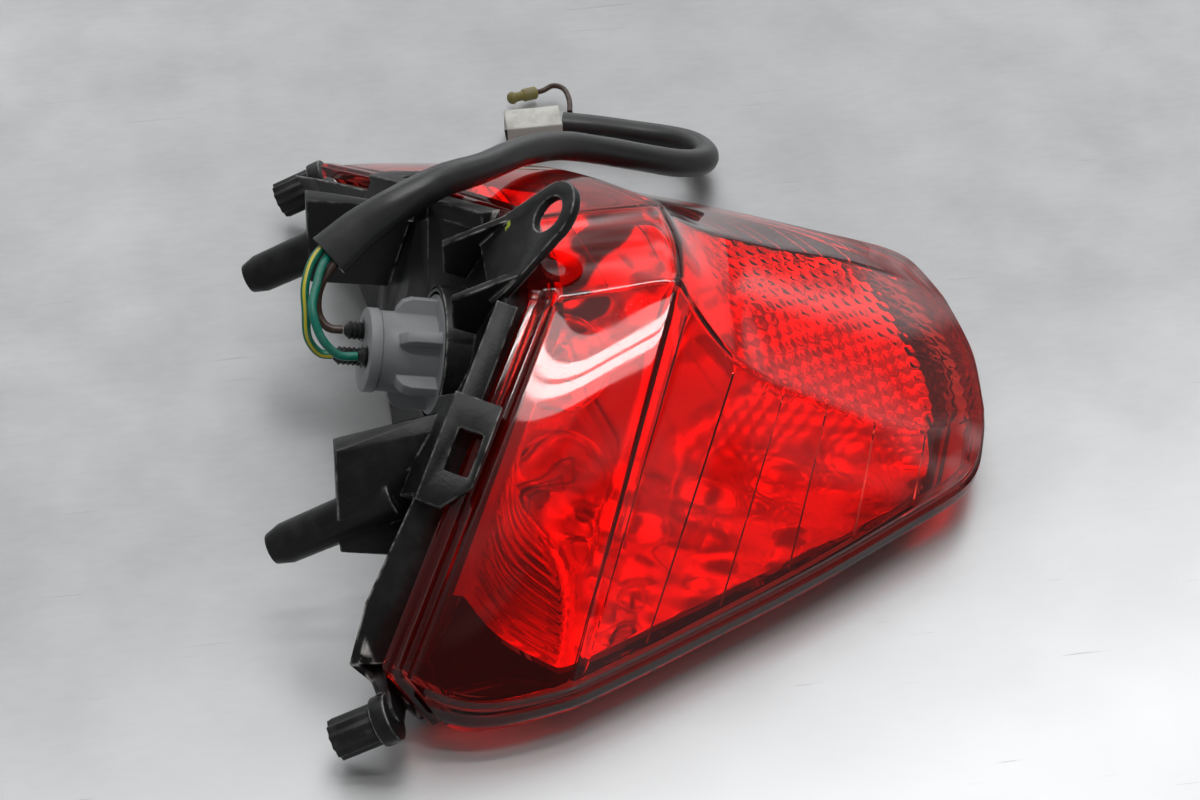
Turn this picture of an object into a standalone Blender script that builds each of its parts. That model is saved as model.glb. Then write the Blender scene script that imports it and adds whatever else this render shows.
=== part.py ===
"""Motorcycle tail light with a twist-lock bulb socket, as an assembly of separate solids.

Frame: +X to the rear of the machine (the lens's nose), +Y to its right, +Z up from the surface it lies on.
All sizes below are in millimetres and are turned into metres by MM when a mesh is made.
"""
import math

import bmesh
import bpy
from mathutils import Matrix, Vector

MM = 0.001
GAP = 0.3

# Lens: half of its outer skin, as stations from the front rim to the nose.
# Each station holds the centre line (x, z), the ridge (x, y, z) and the outer edge (x, y, z).
EDGE_Z = 15.0
LIP_Z = 5.5
LENS_RIM_LIPS = ((-57.5, 92.0, 7.5), (-53.5, 94.2, 6.0))
LIP_INSET = 1.0
LENS_WALL = 2.4
PANEL_CROWN = 0.05
RIM_CROWN = 0.015
LENS_STATIONS = (
    ((-22.0, 66.0), (-22.2, 14.2, 63.6), (-66.6, 89.0, 23.8)),
    ((-17.0, 66.0), (-17.5, 15.5, 63.0), (-62.0, 91.2, 22.0)),
    ((0.0, 67.0), (0.0, 15.0, 64.2), (-46.5, 98.6, EDGE_Z)),
    ((15.5, 66.6), (14.5, 14.0, 64.6), (-23.5, 94.3, EDGE_Z)),
    ((20.0, 58.5), (17.0, 16.5, 58.5), (-20.5, 93.05, EDGE_Z)),
    ((27.5, 46.5), (27.5, 26.2, 43.2), (-6.0, 87.0, EDGE_Z)),
    ((40.0, 40.5), (40.0, 27.2, 37.2), (14.8, 77.4, EDGE_Z)),
    ((50.5, 35.0), (49.9, 28.2, 32.0), (31.9, 69.8, EDGE_Z)),
    ((62.5, 29.0), (62.0, 31.0, 25.9), (51.0, 60.2, EDGE_Z)),
    ((76.0, 22.0), (75.0, 31.5, 19.8), (67.0, 51.1, EDGE_Z)),
    ((95.0, 15.0), (92.3, 21.2, 15.2), (84.8, 42.1, EDGE_Z)),
)

# Housing: half of its outer skin, as lines from the ledge under the lens rim, over the front
# corner, down the wall to the foot and along the floor to the rear rim.
HOUSING_WALL = 2.2
FLOOR_RIM_Z = 1.5
HOUSING_LINES = (
    ((-13.0, 0.0, 58.5), (-27.0, 0.0, 65.0), (-56.0, 0.0, FLOOR_RIM_Z), (87.5, 0.0, FLOOR_RIM_Z)),
    ((-13.5, 15.0, 55.0), (-28.0, 15.0, 62.2), (-56.0, 15.0, FLOOR_RIM_Z), (85.0, 14.0, FLOOR_RIM_Z)),
    ((-26.5, 37.0, 44.0), (-43.5, 37.0, 51.2), (-56.5, 36.0, FLOOR_RIM_Z), (75.8, 37.1, FLOOR_RIM_Z)),
    ((-33.0, 49.0, 39.2), (-51.0, 49.0, 45.6), (-57.0, 48.0, FLOOR_RIM_Z), (62.8, 45.9, FLOOR_RIM_Z)),
    ((-48.0, 75.0, 24.0), (-69.0, 76.0, 31.0), (-60.0, 73.0, FLOOR_RIM_Z), (12.0, 71.5, FLOOR_RIM_Z)),
    ((-56.0, 83.0, 16.0), (-74.0, 87.0, 23.5), (-59.0, 88.0, FLOOR_RIM_Z), (-25.7, 87.5, FLOOR_RIM_Z)),
)
RIM_WALL_HEIGHT = 6.0
BELLY_MARGIN = 9.0

# Bead between the lens rim and the housing, half of its path.
SEAL_BEAD = 1.2
SEAL_PATH = (
    (-15.5, 0.0, 61.4), (-16.0, 15.0, 58.8), (-28.5, 37.0, 47.7), (-35.0, 49.0, 41.8), (-50.0, 75.0, 26.6),
    (-56.0, 84.5, 19.5), (-54.5, 88.0, 14.0), (-52.0, 89.7, 8.5), (-46.0, 90.6, 6.8), (-25.3, 88.9, 6.8),
    (12.7, 72.9, 6.8), (63.6, 47.2, 6.8), (76.9, 38.1, 6.8), (86.4, 14.4, 6.8), (89.0, 0.0, 6.8),
)

# Mounting pins: both lean forward and down along one moulding direction.
PIN_Y = 48.0
PIN_ROOT = (-66.0, 32.6)
PIN_DIAMETER = 10.0
PIN_TIP_DIAMETER = 7.6
PIN_LENGTH = 25.2
PIN_TIP_LENGTH = 4.0
PIN_LEAN = math.radians(24.0)

# Gusset boxes that carry the pins: corners of one of them.
GUSSET_CORNERS = (
    (-72.0, 42.5, 52.0), (-72.0, 47.0, 52.0), (-73.0, 41.5, 25.0), (-73.0, 54.0, 25.0),
    (-45.0, 36.5, 51.0), (-47.5, 41.0, 49.0), (-53.0, 40.0, 22.0), (-54.5, 55.5, 22.0),
)

# Bolt tab: a plate that leans back from the top of the front wall.
TAB_FOOT = (-28.5, 64.0)
TAB_LEAN = math.radians(45.0)
TAB_FOOT_WIDTH = 25.0
TAB_END_RADIUS = 9.0
TAB_HOLE_DIAMETER = 9.6
TAB_HOLE_REACH = 18.2
TAB_THICKNESS = 2.4
TAB_ROOT = 4.0
WEB_Y = 10.0
WEB_THICKNESS = 2.2
WEB_OUTLINE = ((-22.5, 69.0), (-29.0, 60.5), (-35.0, 50.0), (-40.5, 53.0), (-40.5, 62.0), (-30.0, 66.0))

# Snap straps: housing tongues over the lens rim, each with a window for a lens lug.
# They are laid out from a point of the lens rim along the rim, across it and away from the lens.
STRAP_PLACE = (-37.4, 50.3, 46.0)
STRAP_ALONG = (-0.452, 0.784, -0.426)
STRAP_ACROSS = (0.892, 0.389, -0.231)
STRAP_OUTLINE = ((-13.5, -12.5), (-13.5, -0.8), (7.6, -0.8), (14.5, -6.2), (14.5, -12.5))
STRAP_UNDERSIDE = 1.1
STRAP_TOP = 3.0
RIM_PLATE = ((-38.7, -12.7), (-11.3, -5.9), (-4.3, 0.3))
RISER_HALF_WIDTH = 13.1
RISER_OUTLINE = ((-9.6, 1.5), (-9.6, 2.7), (-12.2, 2.7), (-16.5, -5.0), (-12.0, -5.0))
WINDOW_HALF_WIDTH = 5.5
WINDOW_ACROSS = (-8.6, -2.6)
LUG_HALF_WIDTH = 4.4
LUG_ACROSS = (-5.0, -3.0)
LUG_HEIGHT = (-1.8, 2.6)

# Reflector: half of its bright face, as lines from under the ledge down the back to the floor.
REFLECTOR_WALL = 1.5
REFLECTOR_LINES = (
    ((-16.0, 0.0, 53.5), (-31.0, 0.0, 26.0), (-42.0, 0.0, 5.6), (83.0, 0.0, 5.6)),
    ((-19.0, 15.0, 50.5), (-32.5, 15.0, 26.0), (-40.0, 15.0, 5.6), (80.0, 14.0, 5.6)),
    ((-31.0, 33.0, 41.5), (-31.0, 33.0, 24.0), (-26.0, 33.0, 5.6), (73.0, 31.5, 5.8)),
    ((-40.0, 50.0, 33.5), (-33.0, 50.5, 20.0), (-19.5, 51.0, 5.6), (65.0, 38.5, 7.0)),
    ((-45.0, 61.0, 27.0), (-35.5, 65.5, 19.5), (-21.5, 71.0, 8.8), (62.0, 44.0, 10.0)),
    ((-48.5, 72.5, 21.5), (-40.0, 79.5, 17.5), (-25.0, 87.5, 13.2), (58.0, 50.4, 12.4)),
)
REFLECTOR_HOLE_DIAMETER = 31.0

# Breather caps on the outer corners.
VENT_ROOT = (-68.5, 95.5, 12.0)
VENT_NOZZLE_DIAMETER = 6.0
VENT_COLLAR_DIAMETER = 12.0
VENT_CAP_DIAMETER = 10.4
VENT_CAP_LENGTH = 11.0
VENT_FLUTES = 12
VENT_ARM = (
    (-61.0, 84.0, 5.0), (-66.0, 84.0, 17.5), (-70.0, 84.0, 17.5), (-63.5, 84.0, 5.0),
    (-63.0, 95.5, 8.0), (-65.0, 95.5, 16.5), (-67.5, 95.5, 16.0), (-65.5, 95.5, 7.5),
)

# Bulb socket: its axis runs rearward and down; s is measured along it from the socket's front face.
SOCKET_FACE = (-62.0, 0.0, 38.6)
SOCKET_TILT = math.radians(14.0)
SOCKET_FACE_DIAMETER = 21.0
SOCKET_BODY_DIAMETER = 20.0
SOCKET_WING_RADIUS = 14.0
SOCKET_FLANGE_DIAMETER = 30.0
SOCKET_PLUG_DIAMETER = 23.0
SOCKET_BORE_DIAMETER = 18.6
SOCKET_LUG_RADIUS = 14.2
SOCKET_LUG_ANGLES = (30.0, 150.0, 270.0)
SOCKET_TURN = 45.0
BOSS_DIAMETER = 35.0
BOSS_BORE_DIAMETER = 23.8
S_FLANGE = (17.0, 19.2)
S_GASKET = (19.5, 21.2)
S_BOSS = (21.5, 26.2)
S_LUG = (26.6, 29.6)
S_PLUG_END = 33.0
S_BORE_FLOOR = 5.5
SOCKET_WING_ANGLES = (0.0, 60.0, 120.0, 180.0, 240.0, 300.0)
SOCKET_WING_OUTLINE = ((9.6, 7.0), (11.2, 7.0), (13.2, 8.4), (SOCKET_WING_RADIUS, 10.6), (SOCKET_WING_RADIUS, 17.5),
                       (9.6, 17.5))
SOCKET_WING_HALF_WIDTH = 1.5

# Bayonet bulb and its sprung contact plate.
SHELL_DIAMETERS = (18.0, 16.0)
S_SHELL = (8.0, 32.5)
CAP_DIAMETER = 15.2
S_CAP = (15.6, 32.0)
S_CAP_PIN = 23.0
CAP_PIN_DIAMETER = 2.0
CAP_PIN_RADIUS = 8.7
PRESS_TRAVEL = 2.0
GLOBE_DIAMETER = 25.0
S_GLOBE = 50.5
GLASS_WALL = 0.9
NECK_DIAMETER = 13.0
S_NECK = 25.0
S_STEM_END = 38.0
FILAMENT_DIAMETER = 0.7
CARRIER_DIAMETER = 15.4
S_CARRIER = (11.2, 13.4)
CONTACT_DIAMETER = 3.0
CONTACT_OFFSET = 3.2
CONTACT_START = 10.4
CONTACT_END = 14.3
PAD_DIAMETER = 3.6
PAD_HEIGHT = 1.0
SPRING_DIAMETER = 11.0
SPRING_WIRE = 0.9
SPRING_TURNS = 3

# Wires, sleeve, plug and bullet end. Routes are in the frame of the part.
WIRE_DIAMETER = 2.2
SLEEVE_DIAMETER = 7.8
LEAD_DIAMETER = 1.6
SEAL_DIAMETER = 4.6
SEAL_SEAT_DEPTH = 1.7
SEALS = {
    "ground": (-4.6, 1.8, -2.0),
    "brake": (0.0, -2.6, -7.0),
    "tail": (4.9, 1.6, -4.6),
}
WIRE_ROUTES = {
    "ground": ((-68.3, -4.8, 42.2), (-72.0, -2.5, 46.5), (-73.4, 3.0, 51.0), (-73.2, 10.0, 53.4),
               (-72.2, 15.6, 54.2), (-68.8, 18.5, 55.0)),
    "brake": ((-72.8, 0.4, 38.6), (-75.2, 2.2, 42.5), (-75.0, 6.6, 47.6), (-73.4, 11.2, 50.2),
              (-71.2, 15.0, 51.2), (-67.4, 17.6, 52.5)),
    "tail": ((-70.0, 5.8, 42.0), (-73.0, 9.8, 44.2), (-74.8, 14.5, 47.6), (-72.8, 18.2, 50.6),
             (-69.0, 20.1, 52.5)),
}
SLEEVE_ROUTE = (
    (-68.0, 19.0, 53.5), (-59.6, 23.6, 57.2), (-49.5, 27.6, 60.6), (-38.6, 33.0, 62.0), (-27.4, 41.0, 58.2),
    (-15.2, 55.8, 50.0), (-3.4, 68.2, 40.4), (8.5, 76.0, 31.0), (20.5, 80.4, 23.4), (31.5, 84.2, 16.8),
    (39.2, 90.4, 11.2), (42.0, 98.0, 7.4), (39.6, 105.4, 5.2), (32.6, 110.4, 4.3), (22.0, 114.6, 4.2),
    (12.4, 118.2, 4.2), (5.3, 120.2, 4.3),
)
PLUG_SIZE = (16.0, 9.0, 8.0)
PLUG_CENTRE = (-4.2, 120.6, 4.3)
PLUG_CAVITY = 3.0
PLUG_CAVITY_PITCH = 4.4
LEAD_ROUTE = ((7.2, 125.8, 4.6), (7.8, 131.5, 4.6), (7.0, 137.0, 4.4), (4.3, 140.2, 3.4), (1.2, 139.4, 2.6),
              (-0.6, 138.9, 2.6))

FORWARD = Vector((-math.cos(PIN_LEAN), 0.0, -math.sin(PIN_LEAN)))


def clear_scene():
    """Remove what the scene holds."""
    for item in list(bpy.data.objects):
        bpy.data.objects.remove(item)


def finish(name, colour, roughness, metallic=0.0, transmission=0.0):
    """Make a plain material for one sub-part."""
    material = bpy.data.materials.new(name)
    material.use_nodes = True
    shader = material.node_tree.nodes["Principled BSDF"]
    shader.inputs["Base Color"].default_value = (*colour, 1.0)
    shader.inputs["Roughness"].default_value = roughness
    shader.inputs["Metallic"].default_value = metallic
    shader.inputs["Transmission Weight"].default_value = transmission
    return material


def add(name, bm, material):
    """Turn a bmesh in millimetres into a named object in metres."""
    bmesh.ops.scale(bm, vec=(MM, MM, MM), verts=bm.verts)
    mesh = bpy.data.meshes.new(name)
    bm.to_mesh(mesh)
    bm.free()
    mesh.materials.append(material)
    item = bpy.data.objects.new(name, mesh)
    bpy.context.scene.collection.objects.link(item)
    return item


def axis_frame(place, along, side):
    """Return a frame at a place, with its local Z along one direction and its local X near another."""
    z_axis = Vector(along).normalized()
    y_axis = z_axis.cross(Vector(side)).normalized()
    x_axis = y_axis.cross(z_axis)
    frame = Matrix((x_axis, y_axis, z_axis)).transposed().to_4x4()
    frame.translation = Vector(place)
    return frame


def turned(name, profile, frame, material, steps=24, ring=False):
    """Spin a profile of (radius, height) round the local Z axis of a frame."""
    bm = bmesh.new()
    verts = [bm.verts.new((radius, 0.0, height)) for radius, height in profile]
    chain = verts + verts[:1] if ring else verts
    edges = [bm.edges.new(pair) for pair in zip(chain, chain[1:])]
    bmesh.ops.spin(bm, geom=verts + edges, axis=(0, 0, 1), cent=(0, 0, 0), angle=math.tau, steps=steps,
                   use_merge=True)
    bmesh.ops.remove_doubles(bm, verts=bm.verts, dist=0.001)
    on_axis = [vert for vert in bm.verts if vert.co.xy.length < 0.001]
    flat = [vert for vert in on_axis
            if all(abs(edge.other_vert(vert).co.z - vert.co.z) < 0.001 for edge in vert.link_edges)]
    bmesh.ops.dissolve_verts(bm, verts=flat)
    bmesh.ops.recalc_face_normals(bm, faces=bm.faces)
    bm.transform(frame)
    return add(name, bm, material)


def hull(name, points, material):
    """Make the convex solid round a set of points."""
    bm = bmesh.new()
    for point in points:
        bm.verts.new(point)
    result = bmesh.ops.convex_hull(bm, input=bm.verts)
    spare = [item for item in result["geom_interior"] if isinstance(item, bmesh.types.BMVert)]
    bmesh.ops.delete(bm, geom=spare, context="VERTS")
    bmesh.ops.recalc_face_normals(bm, faces=bm.faces)
    return add(name, bm, material)


def box(name, x_range, y_range, z_range, frame, material):
    """Make a box between three ranges in a local frame."""
    corners = [frame @ Vector((x, y, z)) for x in x_range for y in y_range for z in z_range]
    return hull(name, corners, material)


def plate(name, outline, thickness, frame, material):
    """Extrude a flat outline along the local Z axis of a frame."""
    bm = bmesh.new()
    face = bm.faces.new([bm.verts.new((x, y, 0.0)) for x, y in outline])
    moved = bmesh.ops.extrude_face_region(bm, geom=[face])
    verts = [item for item in moved["geom"] if isinstance(item, bmesh.types.BMVert)]
    bmesh.ops.translate(bm, vec=(0, 0, thickness), verts=verts)
    bmesh.ops.recalc_face_normals(bm, faces=bm.faces)
    bm.transform(frame)
    return add(name, bm, material)


def combine(target, others, operation):
    """Apply a list of solids to a target with exact boolean modifiers."""
    for other in others:
        other.hide_render = True
        other.display_type = "WIRE"
        modifier = target.modifiers.new(other.name, "BOOLEAN")
        modifier.operation = operation
        modifier.solver = "EXACT"
        modifier.object = other


def smooth_route(points, spacing):
    """Return points at an even spacing along a smooth curve through the route points."""
    route = [Vector(point) for point in points]
    padded = [route[0] * 2 - route[1]] + route + [route[-1] * 2 - route[-2]]
    fine = []
    for before, start, end, after in zip(padded, padded[1:], padded[2:], padded[3:]):
        for step in range(16):
            t = step / 16.0
            bend = (before * 2 - start * 5 + end * 4 - after) * t * t
            twist = (start * 3 - end * 3 + after - before) * t * t * t
            fine.append((start * 2 + (end - before) * t + bend + twist) * 0.5)
    fine.append(route[-1])
    total = sum((b - a).length for a, b in zip(fine, fine[1:]))
    count = max(2, round(total / spacing))
    even = [fine[0]]
    walked = 0.0
    for a, b in zip(fine, fine[1:]):
        walked += (b - a).length
        if walked >= total * len(even) / count and len(even) < count:
            even.append(b)
    even.append(fine[-1])
    return even


def tube(name, points, diameter, material, cyclic=False, resolution=2):
    """Make a solid round tube along points, with filled ends."""
    curve = bpy.data.curves.new(name, "CURVE")
    curve.dimensions = "3D"
    curve.bevel_depth = diameter * 0.5 * MM
    curve.bevel_resolution = resolution
    curve.use_fill_caps = not cyclic
    spline = curve.splines.new("POLY")
    spline.points.add(len(points) - 1)
    for knot, point in zip(spline.points, points):
        knot.co = (*(Vector(point) * MM), 1.0)
    spline.use_cyclic_u = cyclic
    curve.materials.append(material)
    item = bpy.data.objects.new(name, curve)
    bpy.context.scene.collection.objects.link(item)
    return item


def crease(bm, pairs, amount):
    """Set the subdivision crease of the edges between pairs of vertices."""
    layer = bm.edges.layers.float.get("crease_edge") or bm.edges.layers.float.new("crease_edge")
    for a, b in pairs:
        edge = bm.edges.get((a, b))
        edge[layer] = amount


def mirror_half(item):
    """Mirror a half shell over the plane y = 0 and join it there."""
    modifier = item.modifiers.new("both_sides", "MIRROR")
    modifier.use_axis = (False, True, False)
    modifier.use_clip = True
    modifier.merge_threshold = 0.00005


def thicken(item, wall, even=True):
    """Give a shell its wall, inward from its outer skin."""
    modifier = item.modifiers.new("wall", "SOLIDIFY")
    modifier.thickness = wall * MM
    modifier.offset = -1.0
    modifier.use_even_offset = even


def inward(point, amount):
    """Move a point of the lens edge level towards the middle of the lens."""
    step = Vector((point.x - 10.0, point.y, 0.0)).normalized() * amount
    return point - step


def lens_grid():
    """Work out the lens skin's rows: centre, ridge, panel, edge and lip of each station."""
    rows = []
    for number, (centre, ridge, edge) in enumerate(LENS_STATIONS):
        ridge = Vector(ridge)
        edge = Vector(edge)
        crown = (RIM_CROWN if number < 2 else PANEL_CROWN) * (edge - ridge).length
        panel = (ridge + edge) * 0.5 + Vector((0.0, 0.48, 0.88)) * crown
        lip = inward(edge, LIP_INSET)
        lip.z = LIP_Z
        rows.append([Vector((centre[0], 0.0, centre[1])), ridge, panel, edge, lip])
    for row, lip in zip(rows, LENS_RIM_LIPS):
        row[4] = Vector(lip)
    return rows


def make_lens(material, lug_frames):
    """Build the lens shell with its two snap lugs."""
    bm = bmesh.new()
    grid = [[bm.verts.new(point) for point in row] for row in lens_grid()]
    for front, rear in zip(grid, grid[1:]):
        for column in range(4):
            bm.faces.new((front[column], rear[column], rear[column + 1], front[column + 1]))
    nose = grid[-1]
    foot = []
    for vert in nose[:3]:
        low = inward(vert.co, LIP_INSET)
        low.z = LIP_Z
        foot.append(bm.verts.new(low))
    foot[0].co.y = 0.0
    foot.append(nose[4])
    for column in range(3):
        bm.faces.new((nose[column], foot[column], foot[column + 1], nose[column + 1]))
    ridge = [row[1] for row in grid]
    edge = [row[3] for row in grid]
    crease(bm, zip(ridge, ridge[1:]), 0.6)
    crease(bm, zip(edge, edge[1:]), 1.0)
    crease(bm, zip(nose[:4], nose[1:4]), 1.0)
    crease(bm, zip(grid[3][:2], grid[3][1:2]), 0.3)
    for row in grid[3:5]:
        crease(bm, zip(row[1:4], row[2:4]), 0.8)
    lens = add("lens", bm, material)
    mirror_half(lens)
    smooth = lens.modifiers.new("smooth", "SUBSURF")
    smooth.levels = 1
    smooth.render_levels = 1
    smooth.boundary_smooth = "PRESERVE_CORNERS"
    thicken(lens, LENS_WALL)
    lugs = []
    for side, frame in lug_frames.items():
        along = (-LUG_HALF_WIDTH, LUG_HALF_WIDTH)
        lugs.append(box("lug_" + side, along, LUG_ACROSS, LUG_HEIGHT, frame, material))
    combine(lens, lugs, "UNION")
    return lens


def shell_from_lines(lines):
    """Skin a half shell over lines of points."""
    bm = bmesh.new()
    grid = [[bm.verts.new(point) for point in line] for line in lines]
    for inner, outer in zip(grid, grid[1:]):
        for row in range(len(inner) - 1):
            bm.faces.new((inner[row], outer[row], outer[row + 1], inner[row + 1]))
    return bm, grid


def make_housing(material, strap_frames, socket_frame):
    """Build the housing: shell, bolt tab, webs, gussets, pins, straps, boss and vent nozzles."""
    lines = []
    for ledge, top, foot, rear in HOUSING_LINES:
        belly_front = (foot[0] + BELLY_MARGIN, foot[1] * 0.97, 0.0)
        belly_rear = (rear[0] - BELLY_MARGIN, rear[1] * 0.95, 0.0)
        lines.append((ledge, top, foot, belly_front, belly_rear, rear))
    bm, grid = shell_from_lines(lines)
    rim = grid[-1][2:] + [line[-1] for line in reversed(grid[:-1])]
    rim_edges = [bm.edges.get(pair) for pair in zip(rim, rim[1:])]
    raised = bmesh.ops.extrude_edge_only(bm, edges=rim_edges)
    verts = [item for item in raised["geom"] if isinstance(item, bmesh.types.BMVert)]
    bmesh.ops.translate(bm, vec=(0, 0, RIM_WALL_HEIGHT), verts=verts)
    bmesh.ops.recalc_face_normals(bm, faces=bm.faces)
    bm.faces.ensure_lookup_table()
    bm.normal_update()
    if grid[0][3].normal.z > 0.0:
        bmesh.ops.reverse_faces(bm, faces=bm.faces)
    # The skin is split into triangles first, so that both sides of the wall fold along the same lines.
    bmesh.ops.triangulate(bm, faces=bm.faces)
    housing = add("housing", bm, material)
    mirror_half(housing)
    thicken(housing, HOUSING_WALL, even=False)
    combine(housing, housing_solids(material, strap_frames, socket_frame), "UNION")
    combine(housing, housing_cuts(material, strap_frames, socket_frame), "DIFFERENCE")
    return housing


def tab_frame():
    """Return the bolt tab's frame: local X across it, local Y up along it, local Z out of its front face."""
    up = Vector((math.sin(TAB_LEAN), 0.0, math.cos(TAB_LEAN)))
    out = Vector((-math.cos(TAB_LEAN), 0.0, math.sin(TAB_LEAN)))
    frame = Matrix((up.cross(out), up, out)).transposed().to_4x4()
    frame.translation = Vector((TAB_FOOT[0], 0.0, TAB_FOOT[1]))
    return frame


def housing_solids(material, strap_frames, socket_frame):
    """Make the solids that are moulded onto the housing shell."""
    half = TAB_FOOT_WIDTH * 0.5
    outline = [(half, 1.0), (half, -TAB_ROOT), (-half, -TAB_ROOT), (-half, 1.0)]
    for step in range(13):
        angle = math.pi - math.pi * step / 12.0
        outline.append((TAB_END_RADIUS * math.cos(angle), TAB_HOLE_REACH + TAB_END_RADIUS * math.sin(angle)))
    solids = [plate("tab", outline, -TAB_THICKNESS, tab_frame(), material)]
    for side, sign in (("left", -1.0), ("right", 1.0)):
        y_low = sign * WEB_Y - WEB_THICKNESS * 0.5
        web_frame = Matrix(((1, 0, 0, 0), (0, 0, -1, y_low + WEB_THICKNESS), (0, 1, 0, 0), (0, 0, 0, 1)))
        solids.append(plate("web_" + side, WEB_OUTLINE, WEB_THICKNESS, web_frame, material))
        solids.append(hull("gusset_" + side, [(x, sign * y, z) for x, y, z in GUSSET_CORNERS], material))
        pin_frame = axis_frame((PIN_ROOT[0], sign * PIN_Y, PIN_ROOT[1]), FORWARD, (0, 1, 0))
        radius = PIN_DIAMETER * 0.5
        tip = PIN_TIP_DIAMETER * 0.5
        profile = ((0.0, -8.0), (radius + 0.5, -8.0), (radius, PIN_LENGTH - PIN_TIP_LENGTH), (tip, PIN_LENGTH),
                   (0.0, PIN_LENGTH))
        solids.append(turned("pin_" + side, profile, pin_frame, material))
        vent_frame = axis_frame((VENT_ROOT[0], sign * VENT_ROOT[1], VENT_ROOT[2]), FORWARD, (0, 1, 0))
        collar = VENT_COLLAR_DIAMETER * 0.5
        nozzle = VENT_NOZZLE_DIAMETER * 0.5
        profile = ((0.0, -4.0), (collar, -4.0), (collar, 0.0), (nozzle, 0.0), (nozzle, 8.0), (0.0, 8.0))
        solids.append(turned("nozzle_" + side, profile, vent_frame, material, steps=16))
        solids.append(hull("vent_arm_" + side, [(x, sign * y, z) for x, y, z in VENT_ARM], material))
        frame = strap_frames[side]
        layers = (STRAP_UNDERSIDE, STRAP_TOP)
        corners = [frame @ Vector((*corner, height)) for corner in STRAP_OUTLINE for height in layers]
        solids.append(hull("strap_" + side, corners, material))
        solids.append(box("rim_plate_" + side, *RIM_PLATE, frame, material))
        ends = (-RISER_HALF_WIDTH, RISER_HALF_WIDTH)
        corners = [frame @ Vector((end, across, height)) for end in ends for across, height in RISER_OUTLINE]
        solids.append(hull("riser_" + side, corners, material))
    boss = BOSS_DIAMETER * 0.5
    profile = ((0.0, S_FLANGE[0]), (boss, S_FLANGE[0]), (boss, S_BOSS[1]), (0.0, S_BOSS[1]))
    solids.append(turned("boss", profile, socket_frame, material, steps=32))
    return solids


def housing_cuts(material, strap_frames, socket_frame):
    """Make the cutters for the housing's holes."""
    hole = TAB_HOLE_DIAMETER * 0.5
    frame = tab_frame()
    place = frame @ Vector((0.0, TAB_HOLE_REACH, 0.0))
    out = frame.to_3x3() @ Vector((0.0, 0.0, 1.0))
    profile = ((0.0, -8.0), (hole, -8.0), (hole, 8.0), (0.0, 8.0))
    cuts = [turned("tab_hole", profile, axis_frame(place, out, (0, 1, 0)), material)]
    for side, strap in strap_frames.items():
        along = (-WINDOW_HALF_WIDTH, WINDOW_HALF_WIDTH)
        cuts.append(box("window_" + side, along, WINDOW_ACROSS, (-0.5, STRAP_TOP + 2.0), strap, material))
    pocket = SOCKET_FLANGE_DIAMETER * 0.5 + 0.8
    profile = ((0.0, 4.0), (pocket, 4.0), (pocket, S_BOSS[0]), (0.0, S_BOSS[0]))
    cuts.append(turned("boss_pocket", profile, socket_frame, material, steps=32))
    bore = BOSS_BORE_DIAMETER * 0.5
    profile = ((0.0, 15.0), (bore, 15.0), (bore, 36.0), (0.0, 36.0))
    cuts.append(turned("boss_bore", profile, socket_frame, material, steps=32))
    for number, angle in enumerate(SOCKET_LUG_ANGLES):
        turn = socket_frame @ Matrix.Rotation(math.radians(angle + SOCKET_TURN), 4, "Z")
        cuts.append(box("boss_notch_%d" % number, (8.0, SOCKET_LUG_RADIUS + 0.5), (-3.2, 3.2), (15.0, 36.0), turn,
                        material))
    return cuts


def make_reflector(material, socket_frame):
    """Build the reflector tray with the hole for the bulb."""
    bm, grid = shell_from_lines(REFLECTOR_LINES)
    bmesh.ops.recalc_face_normals(bm, faces=bm.faces)
    bm.normal_update()
    if grid[1][3].normal.z < 0.0:
        bmesh.ops.reverse_faces(bm, faces=bm.faces)
    reflector = add("reflector", bm, material)
    mirror_half(reflector)
    thicken(reflector, REFLECTOR_WALL)
    hole = REFLECTOR_HOLE_DIAMETER * 0.5
    profile = ((0.0, 20.0), (hole, 20.0), (hole, 44.0), (0.0, 44.0))
    combine(reflector, [turned("bulb_hole", profile, socket_frame, material, steps=32)], "DIFFERENCE")
    return reflector


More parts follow.
